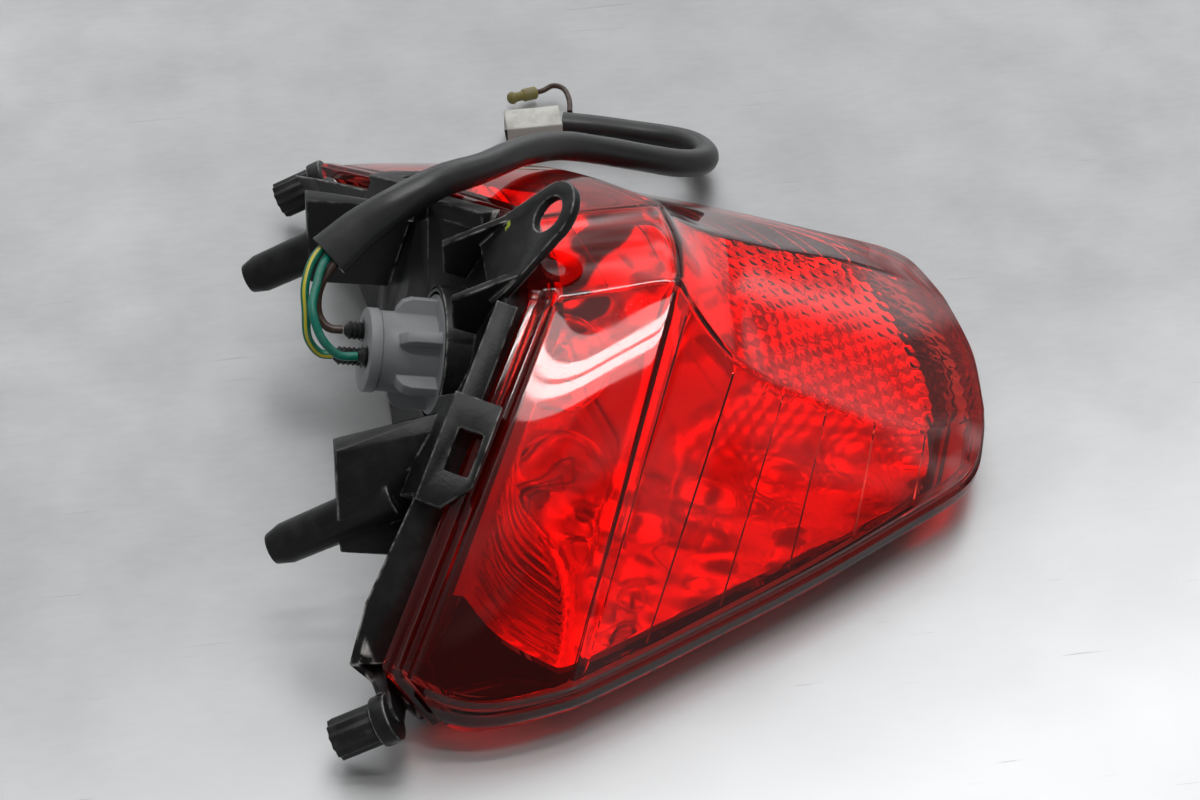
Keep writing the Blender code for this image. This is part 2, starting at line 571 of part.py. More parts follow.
def make_socket(material, frame):
    """Build the socket body with grip wings, bayonet lugs and seats for the wire seals."""
    face = SOCKET_FACE_DIAMETER * 0.5
    body = SOCKET_BODY_DIAMETER * 0.5
    flange = SOCKET_FLANGE_DIAMETER * 0.5
    plug = SOCKET_PLUG_DIAMETER * 0.5
    bore = SOCKET_BORE_DIAMETER * 0.5
    profile = ((0.0, 0.0), (face, 0.0), (face, 3.0), (body, 3.0), (body, S_FLANGE[0]), (flange, S_FLANGE[0]),
               (flange, S_FLANGE[1]), (plug, S_FLANGE[1]), (plug, S_PLUG_END), (bore, S_PLUG_END),
               (bore, S_BORE_FLOOR), (0.0, S_BORE_FLOOR))
    socket = turned("socket_body", profile, frame, material, steps=32)
    extras = []
    for number, angle in enumerate(SOCKET_WING_ANGLES):
        turn = frame @ Matrix.Rotation(math.radians(angle), 4, "Z")
        sides = (-SOCKET_WING_HALF_WIDTH, SOCKET_WING_HALF_WIDTH)
        corners = [turn @ Vector((radius, side, depth)) for radius, depth in SOCKET_WING_OUTLINE for side in sides]
        extras.append(hull("wing_%d" % number, corners, material))
    for number, angle in enumerate(SOCKET_LUG_ANGLES):
        turn = frame @ Matrix.Rotation(math.radians(angle), 4, "Z")
        extras.append(box("socket_lug_%d" % number, (plug - 0.8, SOCKET_LUG_RADIUS), (-2.6, 2.6), S_LUG, turn,
                          material))
    combine(socket, extras, "UNION")
    seats = []
    for name, (across, up, front) in SEALS.items():
        radius = SEAL_DIAMETER * 0.5 + GAP
        seat = frame @ Matrix.Translation((across, up, 0.0))
        profile = ((0.0, -1.0), (radius, -1.0), (radius, SEAL_SEAT_DEPTH + GAP), (0.0, SEAL_SEAT_DEPTH + GAP))
        seats.append(turned("seat_" + name, profile, seat, material, steps=12))
    combine(socket, seats, "DIFFERENCE")
    return socket


def make_ground_shell(material, frame):
    """Build the bayonet sleeve with its two hooked slots."""
    outer = SHELL_DIAMETERS[0] * 0.5
    inner = SHELL_DIAMETERS[1] * 0.5
    profile = ((outer, S_SHELL[0]), (outer, S_SHELL[1]), (inner, S_SHELL[1]), (inner, S_SHELL[0]))
    shell = turned("ground_shell", profile, frame, material, ring=True)
    low = S_CAP_PIN - PRESS_TRAVEL - CAP_PIN_DIAMETER * 0.5 - 0.4
    slots = []
    for number in range(2):
        seat = frame @ Matrix.Rotation(math.pi * number, 4, "Z")
        entry = seat @ Matrix.Rotation(math.radians(40.0), 4, "Z")
        across = seat @ Matrix.Rotation(math.radians(20.0), 4, "Z")
        slots.append(box("hook_%d" % number, (6.0, 11.0), (-1.4, 1.4), (low, S_CAP_PIN + 1.4), seat, material))
        slots.append(box("entry_%d" % number, (6.0, 11.0), (-1.4, 1.4), (low, S_SHELL[1] + 2.0), entry, material))
        slots.append(box("channel_%d" % number, (6.0, 11.0), (-4.2, 4.2), (low, low + 2.8), across, material))
    combine(shell, slots, "DIFFERENCE")
    return shell


def make_bulb(brass, glass, wire, frame):
    """Build the bulb: cap with pins and pads, envelope, stem and two filaments."""
    radius = CAP_DIAMETER * 0.5
    profile = ((0.0, S_CAP[0]), (radius, S_CAP[0]), (radius, S_CAP[1]), (radius - 0.7, S_CAP[1]),
               (radius - 0.7, S_CAP[0] + 1.6), (0.0, S_CAP[0] + 1.6))
    cap = turned("bulb_cap", profile, frame, brass)
    extras = []
    for number, sign in enumerate((-1.0, 1.0)):
        pin_place = frame @ Vector((sign * (radius - 0.5), 0.0, S_CAP_PIN))
        pin_way = frame.to_3x3() @ Vector((sign, 0.0, 0.0))
        pin_frame = axis_frame(pin_place, pin_way, frame.to_3x3() @ Vector((0.0, 0.0, 1.0)))
        pin = CAP_PIN_DIAMETER * 0.5
        length = CAP_PIN_RADIUS - radius + 0.5
        extras.append(turned("cap_pin_%d" % number, ((0.0, 0.0), (pin, 0.0), (pin, length), (0.0, length)),
                             pin_frame, brass, steps=12))
        pad = PAD_DIAMETER * 0.5
        pad_frame = frame @ Matrix.Translation((0.0, sign * CONTACT_OFFSET, S_CAP[0]))
        extras.append(turned("pad_%d" % number, ((0.0, -PAD_HEIGHT), (pad * 0.7, -PAD_HEIGHT), (pad, -0.3),
                             (pad, 0.6), (0.0, 0.6)), pad_frame, brass, steps=12))
    combine(cap, extras, "UNION")

    globe = GLOBE_DIAMETER * 0.5
    neck = NECK_DIAMETER * 0.5
    outside = [(neck, S_NECK), (neck, S_GLOBE - globe)]
    inside = [(neck - GLASS_WALL, S_NECK), (neck - GLASS_WALL, S_GLOBE - globe)]
    for step in range(9):
        angle = math.radians(-40.0 + 130.0 * step / 8.0)
        radial = max(0.0, math.cos(angle))
        if step == 8:
            radial = 0.0
        outside.append((globe * radial, S_GLOBE + globe * math.sin(angle)))
        inside.append(((globe - GLASS_WALL) * radial, S_GLOBE + (globe - GLASS_WALL) * math.sin(angle)))
    envelope = turned("bulb_glass", outside[::-1] + inside, frame, glass, steps=20)

    stem = turned("bulb_stem", ((0.0, S_NECK), (3.6, S_NECK), (2.6, S_STEM_END - 3.0), (2.0, S_STEM_END),
                  (0.0, S_STEM_END)), frame, glass, steps=12)
    for name, shift, height in (("filament_brake", 2.4, S_GLOBE + 1.0), ("filament_tail", -2.4, S_GLOBE + 4.0)):
        route = ((-1.0, shift * 0.4, S_STEM_END + GAP), (-4.2, shift, height - 1.0), (-3.4, shift, height),
                 (3.4, shift, height), (4.2, shift, height - 1.0), (1.0, shift * 0.4, S_STEM_END + GAP))
        tube(name, [frame @ Vector(point) for point in route], FILAMENT_DIAMETER, wire)
    return cap, envelope, stem


def make_contacts(plastic, brass, steel, frame):
    """Build the sprung contact plate, its two contacts and its spring."""
    radius = CARRIER_DIAMETER * 0.5
    profile = ((0.0, S_CARRIER[0]), (radius, S_CARRIER[0]), (radius, S_CARRIER[1]), (0.0, S_CARRIER[1]))
    carrier = turned("contact_carrier", profile, frame, plastic)
    holes = []
    for name, sign in (("contact_brake", -1.0), ("contact_tail", 1.0)):
        place = frame @ Matrix.Translation((0.0, sign * CONTACT_OFFSET, 0.0))
        hole = CONTACT_DIAMETER * 0.5 + GAP
        holes.append(turned("hole_" + name, ((0.0, 8.0), (hole, 8.0), (hole, 16.0), (0.0, 16.0)), place, plastic,
                            steps=12))
        pin = CONTACT_DIAMETER * 0.5
        profile = ((0.0, CONTACT_START), (pin, CONTACT_START), (pin, CONTACT_END - 0.6), (pin * 0.6, CONTACT_END),
                   (0.0, CONTACT_END))
        turned(name, profile, place, brass, steps=12)
    combine(carrier, holes, "DIFFERENCE")
    coil = []
    low = S_BORE_FLOOR + GAP + SPRING_WIRE * 0.5
    high = S_CARRIER[0] - GAP - SPRING_WIRE * 0.5
    radius = SPRING_DIAMETER * 0.5
    for step in range(SPRING_TURNS * 12 + 1):
        angle = math.tau * step / 12.0
        height = low + (high - low) * step / (SPRING_TURNS * 12)
        coil.append(frame @ Vector((radius * math.cos(angle), radius * math.sin(angle), height)))
    tube("contact_spring", coil, SPRING_WIRE, steel, resolution=1)


def make_vent_cap(name, sign, material):
    """Build one fluted breather cap over its nozzle."""
    frame = axis_frame((VENT_ROOT[0], sign * VENT_ROOT[1], VENT_ROOT[2]), FORWARD, (0, 1, 0))
    bm = bmesh.new()
    outer = VENT_CAP_DIAMETER * 0.5
    ring = []
    for step in range(VENT_FLUTES * 2):
        angle = math.tau * step / (VENT_FLUTES * 2)
        radius = outer if step % 2 == 0 else outer - 0.7
        ring.append(bm.verts.new((radius * math.cos(angle), radius * math.sin(angle), GAP)))
    face = bm.faces.new(ring)
    moved = bmesh.ops.extrude_face_region(bm, geom=[face])
    verts = [item for item in moved["geom"] if isinstance(item, bmesh.types.BMVert)]
    bmesh.ops.translate(bm, vec=(0, 0, VENT_CAP_LENGTH - GAP), verts=verts)
    bmesh.ops.recalc_face_normals(bm, faces=bm.faces)
    bm.transform(frame)
    cap = add(name, bm, material)
    bore = VENT_NOZZLE_DIAMETER * 0.5 + GAP
    profile = ((0.0, -2.0), (bore, -2.0), (bore, 8.0 + GAP), (0.0, 8.0 + GAP))
    combine(cap, [turned("bore_" + name, profile, frame, material, steps=16)], "DIFFERENCE")
    return cap


def seal_path():
    """Return the closed path of the bead between the lens rim and the housing."""
    half = [Vector(point) for point in SEAL_PATH]
    other = [Vector((point.x, -point.y, point.z)) for point in reversed(half[1:-1])]
    return half + other


clear_scene()

black = finish("housing_black", (0.02, 0.02, 0.022), 0.5)
red = finish("lens_red", (0.5, 0.01, 0.012), 0.12, transmission=0.8)
chrome = finish("reflector_chrome", (0.85, 0.85, 0.86), 0.08, metallic=1.0)
grey = finish("socket_grey", (0.25, 0.27, 0.29), 0.5)
rubber = finish("rubber_black", (0.015, 0.015, 0.016), 0.8)
brass = finish("contact_brass", (0.72, 0.55, 0.25), 0.3, metallic=1.0)
steel = finish("spring_steel", (0.6, 0.6, 0.6), 0.3, metallic=1.0)
glass = finish("bulb_glass", (0.95, 0.95, 0.95), 0.03, transmission=1.0)
insulator = finish("contact_insulator", (0.3, 0.18, 0.1), 0.6)
green = finish("wire_green", (0.0, 0.3, 0.18), 0.4)
striped = finish("wire_green_yellow", (0.2, 0.4, 0.05), 0.4)
brown = finish("wire_brown", (0.12, 0.06, 0.03), 0.45)
sleeve_black = finish("sleeve_black", (0.03, 0.03, 0.03), 0.55)
milky = finish("plug_white", (0.75, 0.74, 0.68), 0.45)
olive = finish("terminal_olive", (0.35, 0.3, 0.08), 0.4)

socket_way = Vector((math.cos(SOCKET_TILT), 0.0, -math.sin(SOCKET_TILT)))
socket_frame = axis_frame(SOCKET_FACE, socket_way, (0, 1, 0))

strap_frames = {}
for side_name, side_sign in (("left", -1.0), ("right", 1.0)):
    strap_along = Vector((STRAP_ALONG[0], side_sign * STRAP_ALONG[1], STRAP_ALONG[2])).normalized()
    strap_across = Vector((STRAP_ACROSS[0], side_sign * STRAP_ACROSS[1], STRAP_ACROSS[2])).normalized()
    strap_out = strap_across.cross(strap_along).normalized() * side_sign
    strap_frame = Matrix((strap_along, strap_across, strap_out)).transposed().to_4x4()
    strap_frame.translation = Vector((STRAP_PLACE[0], side_sign * STRAP_PLACE[1], STRAP_PLACE[2]))
    strap_frames[side_name] = strap_frame

make_lens(red, strap_frames)
make_housing(black, strap_frames, socket_frame)
make_reflector(chrome, socket_frame)
tube("lens_seal", seal_path(), SEAL_BEAD, rubber, cyclic=True, resolution=1)
make_socket(grey, socket_frame)
gasket_outer = SOCKET_FLANGE_DIAMETER * 0.5 - 0.5
gasket_inner = SOCKET_PLUG_DIAMETER * 0.5 + GAP
turned("socket_gasket", ((gasket_outer, S_GASKET[0]), (gasket_outer, S_GASKET[1]), (gasket_inner, S_GASKET[1]),
       (gasket_inner, S_GASKET[0])), socket_frame, rubber, steps=32, ring=True)
make_ground_shell(brass, socket_frame)
make_contacts(insulator, brass, steel, socket_frame)
make_bulb(brass, glass, steel, socket_frame)
make_vent_cap("vent_cap_left", -1.0, rubber)
make_vent_cap("vent_cap_right", 1.0, rubber)

wire_materials = {"ground": green, "brake": striped, "tail": brown}
for wire_name, (across, up, front) in SEALS.items():
    seal_radius = SEAL_DIAMETER * 0.5
    seal_frame = socket_frame @ Matrix.Translation((across, up, 0.0))
    turned("wire_seal_" + wire_name, ((0.0, front), (seal_radius - 0.8, front), (seal_radius, front + 1.0),
           (seal_radius, SEAL_SEAT_DEPTH), (0.0, SEAL_SEAT_DEPTH)), seal_frame, rubber, steps=12)
    start = socket_frame @ Vector((across, up, front - GAP))
    route = [start] + [Vector(point) for point in WIRE_ROUTES[wire_name]]
    tube("wire_" + wire_name, smooth_route(route, WIRE_DIAMETER * 1.6), WIRE_DIAMETER, wire_materials[wire_name])

tube("wire_sleeve", smooth_route(SLEEVE_ROUTE, SLEEVE_DIAMETER * 0.8), SLEEVE_DIAMETER, sleeve_black, resolution=3)

plug_frame = Matrix.Translation(PLUG_CENTRE)
half_long = PLUG_SIZE[0] * 0.5
half_wide = PLUG_SIZE[1] * 0.5
half_high = PLUG_SIZE[2] * 0.5
plug_body = box("plug_body", (-half_long, half_long), (-half_wide, half_wide), (-half_high, half_high), plug_frame,
                milky)
cavities = []
for terminal_name, sign in (("brake", -1.0), ("tail", 1.0)):
    middle = sign * PLUG_CAVITY_PITCH * 0.5
    side_low = middle - PLUG_CAVITY * 0.5
    side_high = middle + PLUG_CAVITY * 0.5
    cavities.append(box("cavity_" + terminal_name, (-half_long - 1.0, half_long - 3.0), (side_low, side_high),
                        (-PLUG_CAVITY * 0.5, PLUG_CAVITY * 0.5), plug_frame, milky))
    blade = PLUG_CAVITY * 0.5 - GAP
    box("plug_terminal_" + terminal_name, (-half_long + 1.5, half_long - 3.0 - GAP),
        (middle - blade, middle + blade), (-blade * 0.7, blade * 0.7), plug_frame, brass)
combine(plug_body, cavities, "DIFFERENCE")

tube("earth_lead", smooth_route(LEAD_ROUTE, LEAD_DIAMETER * 1.6), LEAD_DIAMETER, brown)
bullet_start = Vector(LEAD_ROUTE[-1])
bullet_way = (bullet_start - Vector(LEAD_ROUTE[-2])).normalized()
bullet_frame = axis_frame(bullet_start, bullet_way, (0, 0, 1))
turned("bullet_terminal", ((0.0, GAP), (1.9, GAP), (1.9, 4.6), (1.4, 5.0), (1.4, 7.0), (1.9, 7.8), (1.2, 9.4),
       (0.0, 9.4)), bullet_frame, olive, steps=12)
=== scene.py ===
# %% [markdown]
# # A motorcycle tail light
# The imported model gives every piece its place, its size and the way it moves. This lesson dresses it: the
# pieces that show get rounder and fuller meshes, and every surface gets a finish made of shader nodes.
# The model is loaded first, because each new piece is laid over a CAD node and rides on a CAD body.

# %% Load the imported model
import math

import bmesh
import bpy
from mathutils import Matrix, Vector
from mathutils.bvhtree import BVHTree


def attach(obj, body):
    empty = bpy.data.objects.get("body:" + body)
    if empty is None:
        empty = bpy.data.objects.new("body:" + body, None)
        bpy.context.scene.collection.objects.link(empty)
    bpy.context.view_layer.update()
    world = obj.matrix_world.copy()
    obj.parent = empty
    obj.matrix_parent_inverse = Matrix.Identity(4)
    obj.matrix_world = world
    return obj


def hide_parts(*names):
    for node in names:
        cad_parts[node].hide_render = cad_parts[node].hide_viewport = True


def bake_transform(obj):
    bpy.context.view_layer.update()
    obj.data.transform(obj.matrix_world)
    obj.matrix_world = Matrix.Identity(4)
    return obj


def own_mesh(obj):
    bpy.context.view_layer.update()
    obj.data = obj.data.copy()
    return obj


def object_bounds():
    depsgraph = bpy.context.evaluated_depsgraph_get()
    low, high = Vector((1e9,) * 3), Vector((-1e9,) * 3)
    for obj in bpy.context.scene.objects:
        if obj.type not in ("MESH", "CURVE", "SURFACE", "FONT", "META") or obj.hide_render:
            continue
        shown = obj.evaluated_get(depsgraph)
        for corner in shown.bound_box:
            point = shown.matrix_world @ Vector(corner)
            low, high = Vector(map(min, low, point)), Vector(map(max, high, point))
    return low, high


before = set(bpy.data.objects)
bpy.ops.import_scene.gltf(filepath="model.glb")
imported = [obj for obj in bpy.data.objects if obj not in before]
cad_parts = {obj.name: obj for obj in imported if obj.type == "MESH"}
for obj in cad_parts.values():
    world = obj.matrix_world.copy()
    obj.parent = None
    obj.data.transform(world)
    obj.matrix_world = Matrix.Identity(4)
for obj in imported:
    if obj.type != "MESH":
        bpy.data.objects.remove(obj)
cad_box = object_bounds()
scene = bpy.context.scene
MM = 0.001
box_sides = [round(side / MM, 1) for side in cad_box[1] - cad_box[0]]
print("CAD nodes:", len(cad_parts), "box in mm:", box_sides)

# %% [markdown]
# ## Camera
# The photograph looks down on the lamp at 45 degrees, from a little to the left of its nose. A camera
# could be aimed with a Track To constraint, but three unit vectors (right, up and back) say the same
# thing in one matrix, and nothing is left on the object that another view would have to undo.

# %% Camera
CAMERA_PLACE = (-0.076, -0.483, 0.5006)
CAMERA_AZIMUTH = math.radians(-8.6)
CAMERA_ELEVATION = math.radians(45.0)
CAMERA_FOCAL_LENGTH = 81.0
CAMERA_SENSOR = 36.0
CAMERA_CLIP_START = 0.01

level = math.cos(CAMERA_ELEVATION)
view_right = Vector((math.cos(CAMERA_AZIMUTH), math.sin(CAMERA_AZIMUTH), 0.0))
view_back = Vector((math.sin(CAMERA_AZIMUTH) * level, -math.cos(CAMERA_AZIMUTH) * level,
                    math.sin(CAMERA_ELEVATION)))
view_up = view_back.cross(view_right)
camera_data = bpy.data.cameras.new("camera")
camera_data.sensor_width = CAMERA_SENSOR
camera_data.lens = CAMERA_FOCAL_LENGTH
camera_data.clip_start = CAMERA_CLIP_START
camera = bpy.data.objects.new("camera", camera_data)
camera_turn = Matrix((view_right, view_up, view_back)).transposed().to_4x4()
camera.matrix_world = Matrix.Translation(CAMERA_PLACE) @ camera_turn
scene.collection.objects.link(camera)
scene.camera = camera
scene.view_settings.view_transform = "Standard"
print("camera looks along", [round(part, 3) for part in -view_back])

# %% [markdown]
# ## Nodes that more than one finish uses
# Moulded plastic, rubber and vinyl all show a fine grain, rubbed edges and settled dust. Each of these is
# a node group that puts out a mask or a height, so a finish only chooses its own colours and amounts. The
# groups read Object coordinates: every piece sits at the origin, so the pattern stays on it.

# %% Helpers for node trees
def add_node(tree, kind, **settings):
    """Add a shader node and set its properties."""
    node = tree.nodes.new("ShaderNode" + kind)
    for name, value in settings.items():
        setattr(node, name, value)
    return node


def feed(tree, socket, source):
    """Give a socket a link, or a plain value."""
    if isinstance(source, bpy.types.NodeSocket):
        tree.links.new(source, socket)
    else:
        socket.default_value = source


def math_node(tree, operation, *sources, clamp=False):
    """Add a Math node, feed its inputs and return its output."""
    node = add_node(tree, "Math", operation=operation, use_clamp=clamp)
    for socket, source in zip(node.inputs, sources):
        feed(tree, socket, source)
    return node.outputs[0]


def mapped(tree, value, low, high, to_low, to_high):
    """Map a value from one range to another, and hold it there."""
    node = add_node(tree, "MapRange")
    for socket, source in zip(node.inputs, (value, low, high, to_low, to_high)):
        feed(tree, socket, source)
    return node.outputs[0]


def noise(tree, scale, detail=2.0, stretch=None):
    """Noise on Object coordinates, its scale per metre."""
    place = add_node(tree, "TexCoord").outputs["Object"]
    if stretch:
        mapping = add_node(tree, "Mapping")
        mapping.inputs["Scale"].default_value = stretch
        tree.links.new(place, mapping.inputs["Vector"])
        place = mapping.outputs[0]
    node = add_node(tree, "TexNoise")
    tree.links.new(place, node.inputs["Vector"])
    feed(tree, node.inputs["Scale"], scale)
    node.inputs["Detail"].default_value = detail
    return node.outputs["Fac"]


def start_group(name, inputs, outputs):
    """Start a shader node group with float sockets."""
    group = bpy.data.node_groups.new(name, "ShaderNodeTree")
    for label, value in inputs.items():
        socket = group.interface.new_socket(label, in_out="INPUT", socket_type="NodeSocketFloat")
        socket.default_value = value
    for label in outputs:
        group.interface.new_socket(label, in_out="OUTPUT", socket_type="NodeSocketFloat")
    return group, group.nodes.new("NodeGroupInput").outputs, group.nodes.new("NodeGroupOutput").inputs


# %% Node groups: grain, rubbed edges and dust
grain_group, given, result = start_group("mould_grain", {"Scale": 900.0}, ["Height", "Blotch"])
fine = noise(grain_group, given["Scale"], detail=4.0)
broad = noise(grain_group, math_node(grain_group, "MULTIPLY", given["Scale"], 0.06), detail=3.0)
grain_group.links.new(fine, result["Height"])
grain_group.links.new(mapped(grain_group, broad, 0.3, 0.7, 0.0, 1.0), result["Blotch"])

wear_group, given, result = start_group("edge_wear", {"Radius": 0.0006, "Breaks": 300.0}, ["Mask"])
rounded = add_node(wear_group, "Bevel", samples=6)
wear_group.links.new(given["Radius"], rounded.inputs["Radius"])
surface = add_node(wear_group, "NewGeometry")
facing = add_node(wear_group, "VectorMath", operation="DOT_PRODUCT")
wear_group.links.new(rounded.outputs[0], facing.inputs[0])
wear_group.links.new(surface.outputs["Normal"], facing.inputs[1])
edge = mapped(wear_group, facing.outputs["Value"], 0.992, 0.90, 0.0, 1.0)
breaks = mapped(wear_group, noise(wear_group, given["Breaks"], detail=4.0), 0.40, 0.58, 0.0, 1.0)
wear_group.links.new(math_node(wear_group, "MULTIPLY", edge, breaks), result["Mask"])

dust_group, given, result = start_group("settled_dust", {"Scale": 220.0}, ["Mask", "Specks"])
upward = add_node(dust_group, "SeparateXYZ")
dust_group.links.new(add_node(dust_group, "NewGeometry").outputs["Normal"], upward.inputs[0])
lying = mapped(dust_group, upward.outputs["Z"], 0.1, 0.9, 0.0, 1.0)
cloud = mapped(dust_group, noise(dust_group, given["Scale"], detail=5.0), 0.45, 0.72, 0.0, 1.0)
dust_group.links.new(math_node(dust_group, "MULTIPLY", lying, cloud), result["Mask"])
speck_scale = math_node(dust_group, "MULTIPLY", given["Scale"], 6.0)
specks = mapped(dust_group, noise(dust_group, speck_scale, detail=1.0), 0.70, 0.76, 0.0, 1.0)
dust_group.links.new(specks, result["Specks"])
print("node groups:", [group.name for group in bpy.data.node_groups])

# %% [markdown]
# ## A finish for plastics, rubber and vinyl
# All of the dull pieces are one recipe: a colour that drifts a little, paler rubbed edges, dust on what
# faces up, and a grain that moves both the gloss and the normal. A separate tree for each would repeat
# the same links, so one function builds the tree and each finish gives its own numbers.

# %% The recipe of the dull finishes
def place_group(tree, group, **values):
    """Place a node group in a material with its own values."""
    node = tree.nodes.new("ShaderNodeGroup")
    node.node_tree = group
    for label, value in values.items():
        node.inputs[label].default_value = value
    return node.outputs


def mixed(tree, factor, first, second):
    """Mix two colours by a factor."""
    node = add_node(tree, "Mix", data_type="RGBA")
    feed(tree, node.inputs["Factor"], factor)
    for socket, colour in ((node.inputs[6], first), (node.inputs[7], second)):
        feed(tree, socket, (*colour, 1.0) if isinstance(colour, tuple) else colour)
    return node.outputs[2]


def start_material(name):
    """Start a node material and return it with its tree and its Principled shader."""
    material = bpy.data.materials.new(name)
    material.use_nodes = True
    return material, material.node_tree, material.node_tree.nodes["Principled BSDF"]


DUST_COLOUR = (0.30, 0.29, 0.27)
DULL_SHINE = 0.4
DUST_DULLS = 0.4
GLOSS_DRIFT = 0.07
DAB_COLOUR = (0.42, 0.50, 0.05)
DAB_SIZE = 0.0014
DAB_EDGE = 0.0018
DAB_COVERS = 0.8


def dull_finish(name, colour, drift, worn, roughness, grain=900.0, relief=0.00006, wear=1.0, dust=0.4,
                wear_radius=0.0006, shine=DULL_SHINE, dab=None):
    """Make a moulded or rubbery finish, with drift, rubbed edges, dust, grain and perhaps a dab of paint."""
    material, tree, shader = start_material(name)
    grained = place_group(tree, grain_group, Scale=grain)
    dusty = place_group(tree, dust_group)
    body = mixed(tree, grained["Blotch"], colour, drift)
    if dab:
        spot = add_node(tree, "VectorMath", operation="DISTANCE")
        tree.links.new(add_node(tree, "TexCoord").outputs["Object"], spot.inputs[0])
        spot.inputs[1].default_value = dab
        ragged = mapped(tree, noise(tree, 900.0), 0.3, 0.7, 0.0, DAB_SIZE)
        reach = math_node(tree, "ADD", spot.outputs["Value"], ragged)
        body = mixed(tree, mapped(tree, reach, DAB_SIZE, DAB_EDGE, DAB_COVERS, 0.0), body, DAB_COLOUR)
    if wear > 0.0:
        rubbed = place_group(tree, wear_group, Radius=wear_radius)["Mask"]
        body = mixed(tree, math_node(tree, "MULTIPLY", rubbed, wear), body, worn)
    lying = math_node(tree, "MULTIPLY", dusty["Mask"], dust)
    speckled = math_node(tree, "MAXIMUM", lying, math_node(tree, "MULTIPLY", dusty["Specks"], dust))
    tree.links.new(mixed(tree, speckled, body, DUST_COLOUR), shader.inputs["Base Color"])
    gloss = mapped(tree, grained["Blotch"], 0.0, 1.0, roughness - GLOSS_DRIFT, roughness + GLOSS_DRIFT)
    dulled = math_node(tree, "MULTIPLY", lying, DUST_DULLS)
    tree.links.new(math_node(tree, "ADD", gloss, dulled), shader.inputs["Roughness"])
    shader.inputs["Specular IOR Level"].default_value = shine
    bump = add_node(tree, "Bump")
    bump.inputs["Distance"].default_value = relief
    tree.links.new(grained["Height"], bump.inputs["Height"])
    tree.links.new(bump.outputs[0], shader.inputs["Normal"])
    return material


# %% [markdown]
# ## Floor and light
# The lamp lies on a pale metal table. A single large plane stands for it, a little glossy, so that the
# red of the lens is mirrored softly beside the nose. Towards the front it is painted paler, a painted pool
# of light. A ceiling fitting with two tubes gives the bright band on the lens's shoulder, and a narrow
# strip gives the line along its ridge. The world is a dim, patchy room with one bright wall behind the
# lamp: that is where the chrome looks, while the black plastic mostly mirrors the dim part.

# %% Floor
FLOOR_HALF_SIZE = 4.0
FLOOR_DROP = 0.0003
# The way, the reach and the strength of the painted pool of light that makes the table paler towards the
# front.
FRONT_WAY = (0.25, -1.0, 0.0)
PAINTED_LIGHT_REACH = 0.14
PAINTED_LIGHT_MOST = 0.9
SHEET_DARK = (0.43, 0.43, 0.433)
SHEET_PALE = (0.53, 0.53, 0.53)
# The colour of that painted pool of light.
SHEET_PAINTED_LIGHT = (0.88, 0.88, 0.88)
SCRATCH_COLOUR = (0.34, 0.34, 0.345)
SHEET_METAL = 0.55
ROUGH_SHEET = 0.44
SMOOTH_SHEET = 0.36

floor_finish, floor_tree, floor_shader = start_material("pale_table")
clouds = mapped(floor_tree, noise(floor_tree, 34.0, detail=8.0), 0.3, 0.7, 0.0, 1.0)
brushed = noise(floor_tree, 160.0, detail=5.0, stretch=(1.0, 3.0, 1.0))
brushing = mapped(floor_tree, brushed, 0.3, 0.7, 0.0, 1.0)
tone = math_node(floor_tree, "ADD", math_node(floor_tree, "MULTIPLY", clouds, 0.75),
                 math_node(floor_tree, "MULTIPLY", brushing, 0.25))
sheet = mixed(floor_tree, tone, SHEET_DARK, SHEET_PALE)
# Towards the front the sheet is painted paler: a painted pool of light, fading in over the reach.
towards_front = add_node(floor_tree, "VectorMath", operation="DOT_PRODUCT")
floor_tree.links.new(add_node(floor_tree, "TexCoord").outputs["Object"], towards_front.inputs[0])
towards_front.inputs[1].default_value = FRONT_WAY
painted_light_pool = mapped(floor_tree, towards_front.outputs["Value"], 0.0, PAINTED_LIGHT_REACH, 0.0, PAINTED_LIGHT_MOST)
sheet = mixed(floor_tree, painted_light_pool, sheet, SHEET_PAINTED_LIGHT)
scratch_lines = noise(floor_tree, 24.0, detail=3.0, stretch=(1.0, 30.0, 1.0))
scratched = mapped(floor_tree, scratch_lines, 0.70, 0.73, 0.0, 0.5)
floor_tree.links.new(mixed(floor_tree, scratched, sheet, SCRATCH_COLOUR), floor_shader.inputs["Base Color"])
floor_shader.inputs["Metallic"].default_value = SHEET_METAL
floor_gloss = mapped(floor_tree, tone, 0.0, 1.0, ROUGH_SHEET, SMOOTH_SHEET)
floor_tree.links.new(floor_gloss, floor_shader.inputs["Roughness"])
bm = bmesh.new()
bmesh.ops.create_grid(bm, x_segments=1, y_segments=1, size=FLOOR_HALF_SIZE)
bmesh.ops.translate(bm, vec=(0.0, 0.0, cad_box[0].z - FLOOR_DROP), verts=bm.verts)
floor_mesh = bpy.data.meshes.new("table")
bm.to_mesh(floor_mesh)
bm.free()
floor_mesh.materials.append(floor_finish)
table = bpy.data.objects.new("table", floor_mesh)
scene.collection.objects.link(table)
print("table at z", round(cad_box[0].z - FLOOR_DROP, 5))

# %% Lamps and world
LAMPS = (
    ("fitting_glow", (0.06, -0.104, 0.88), (0.36, 0.085), -11.0, 0.45),
    ("tube_near", (0.06, -0.113, 0.87), (0.36, 0.015), -11.0, 0.27),
    ("tube_far", (0.06, -0.092, 0.87), (0.36, 0.015), -11.0, 0.27),
    ("strip_ridge", (0.07, 0.11, 0.87), (0.44, 0.05), 0.0, 0.75),
)
BRIGHT_WALL_WAY = (0.10, 0.70, 0.70)
ROOM_LIGHT = 0.26
WALL_LIGHT = 1.6
WALL_EDGE = (0.55, 0.93)
SKY_COLOUR = (0.97, 0.985, 1.0, 1.0)
PATCH_SCALE = 4.2
PATCH_LIGHT = (0.3, 1.45)

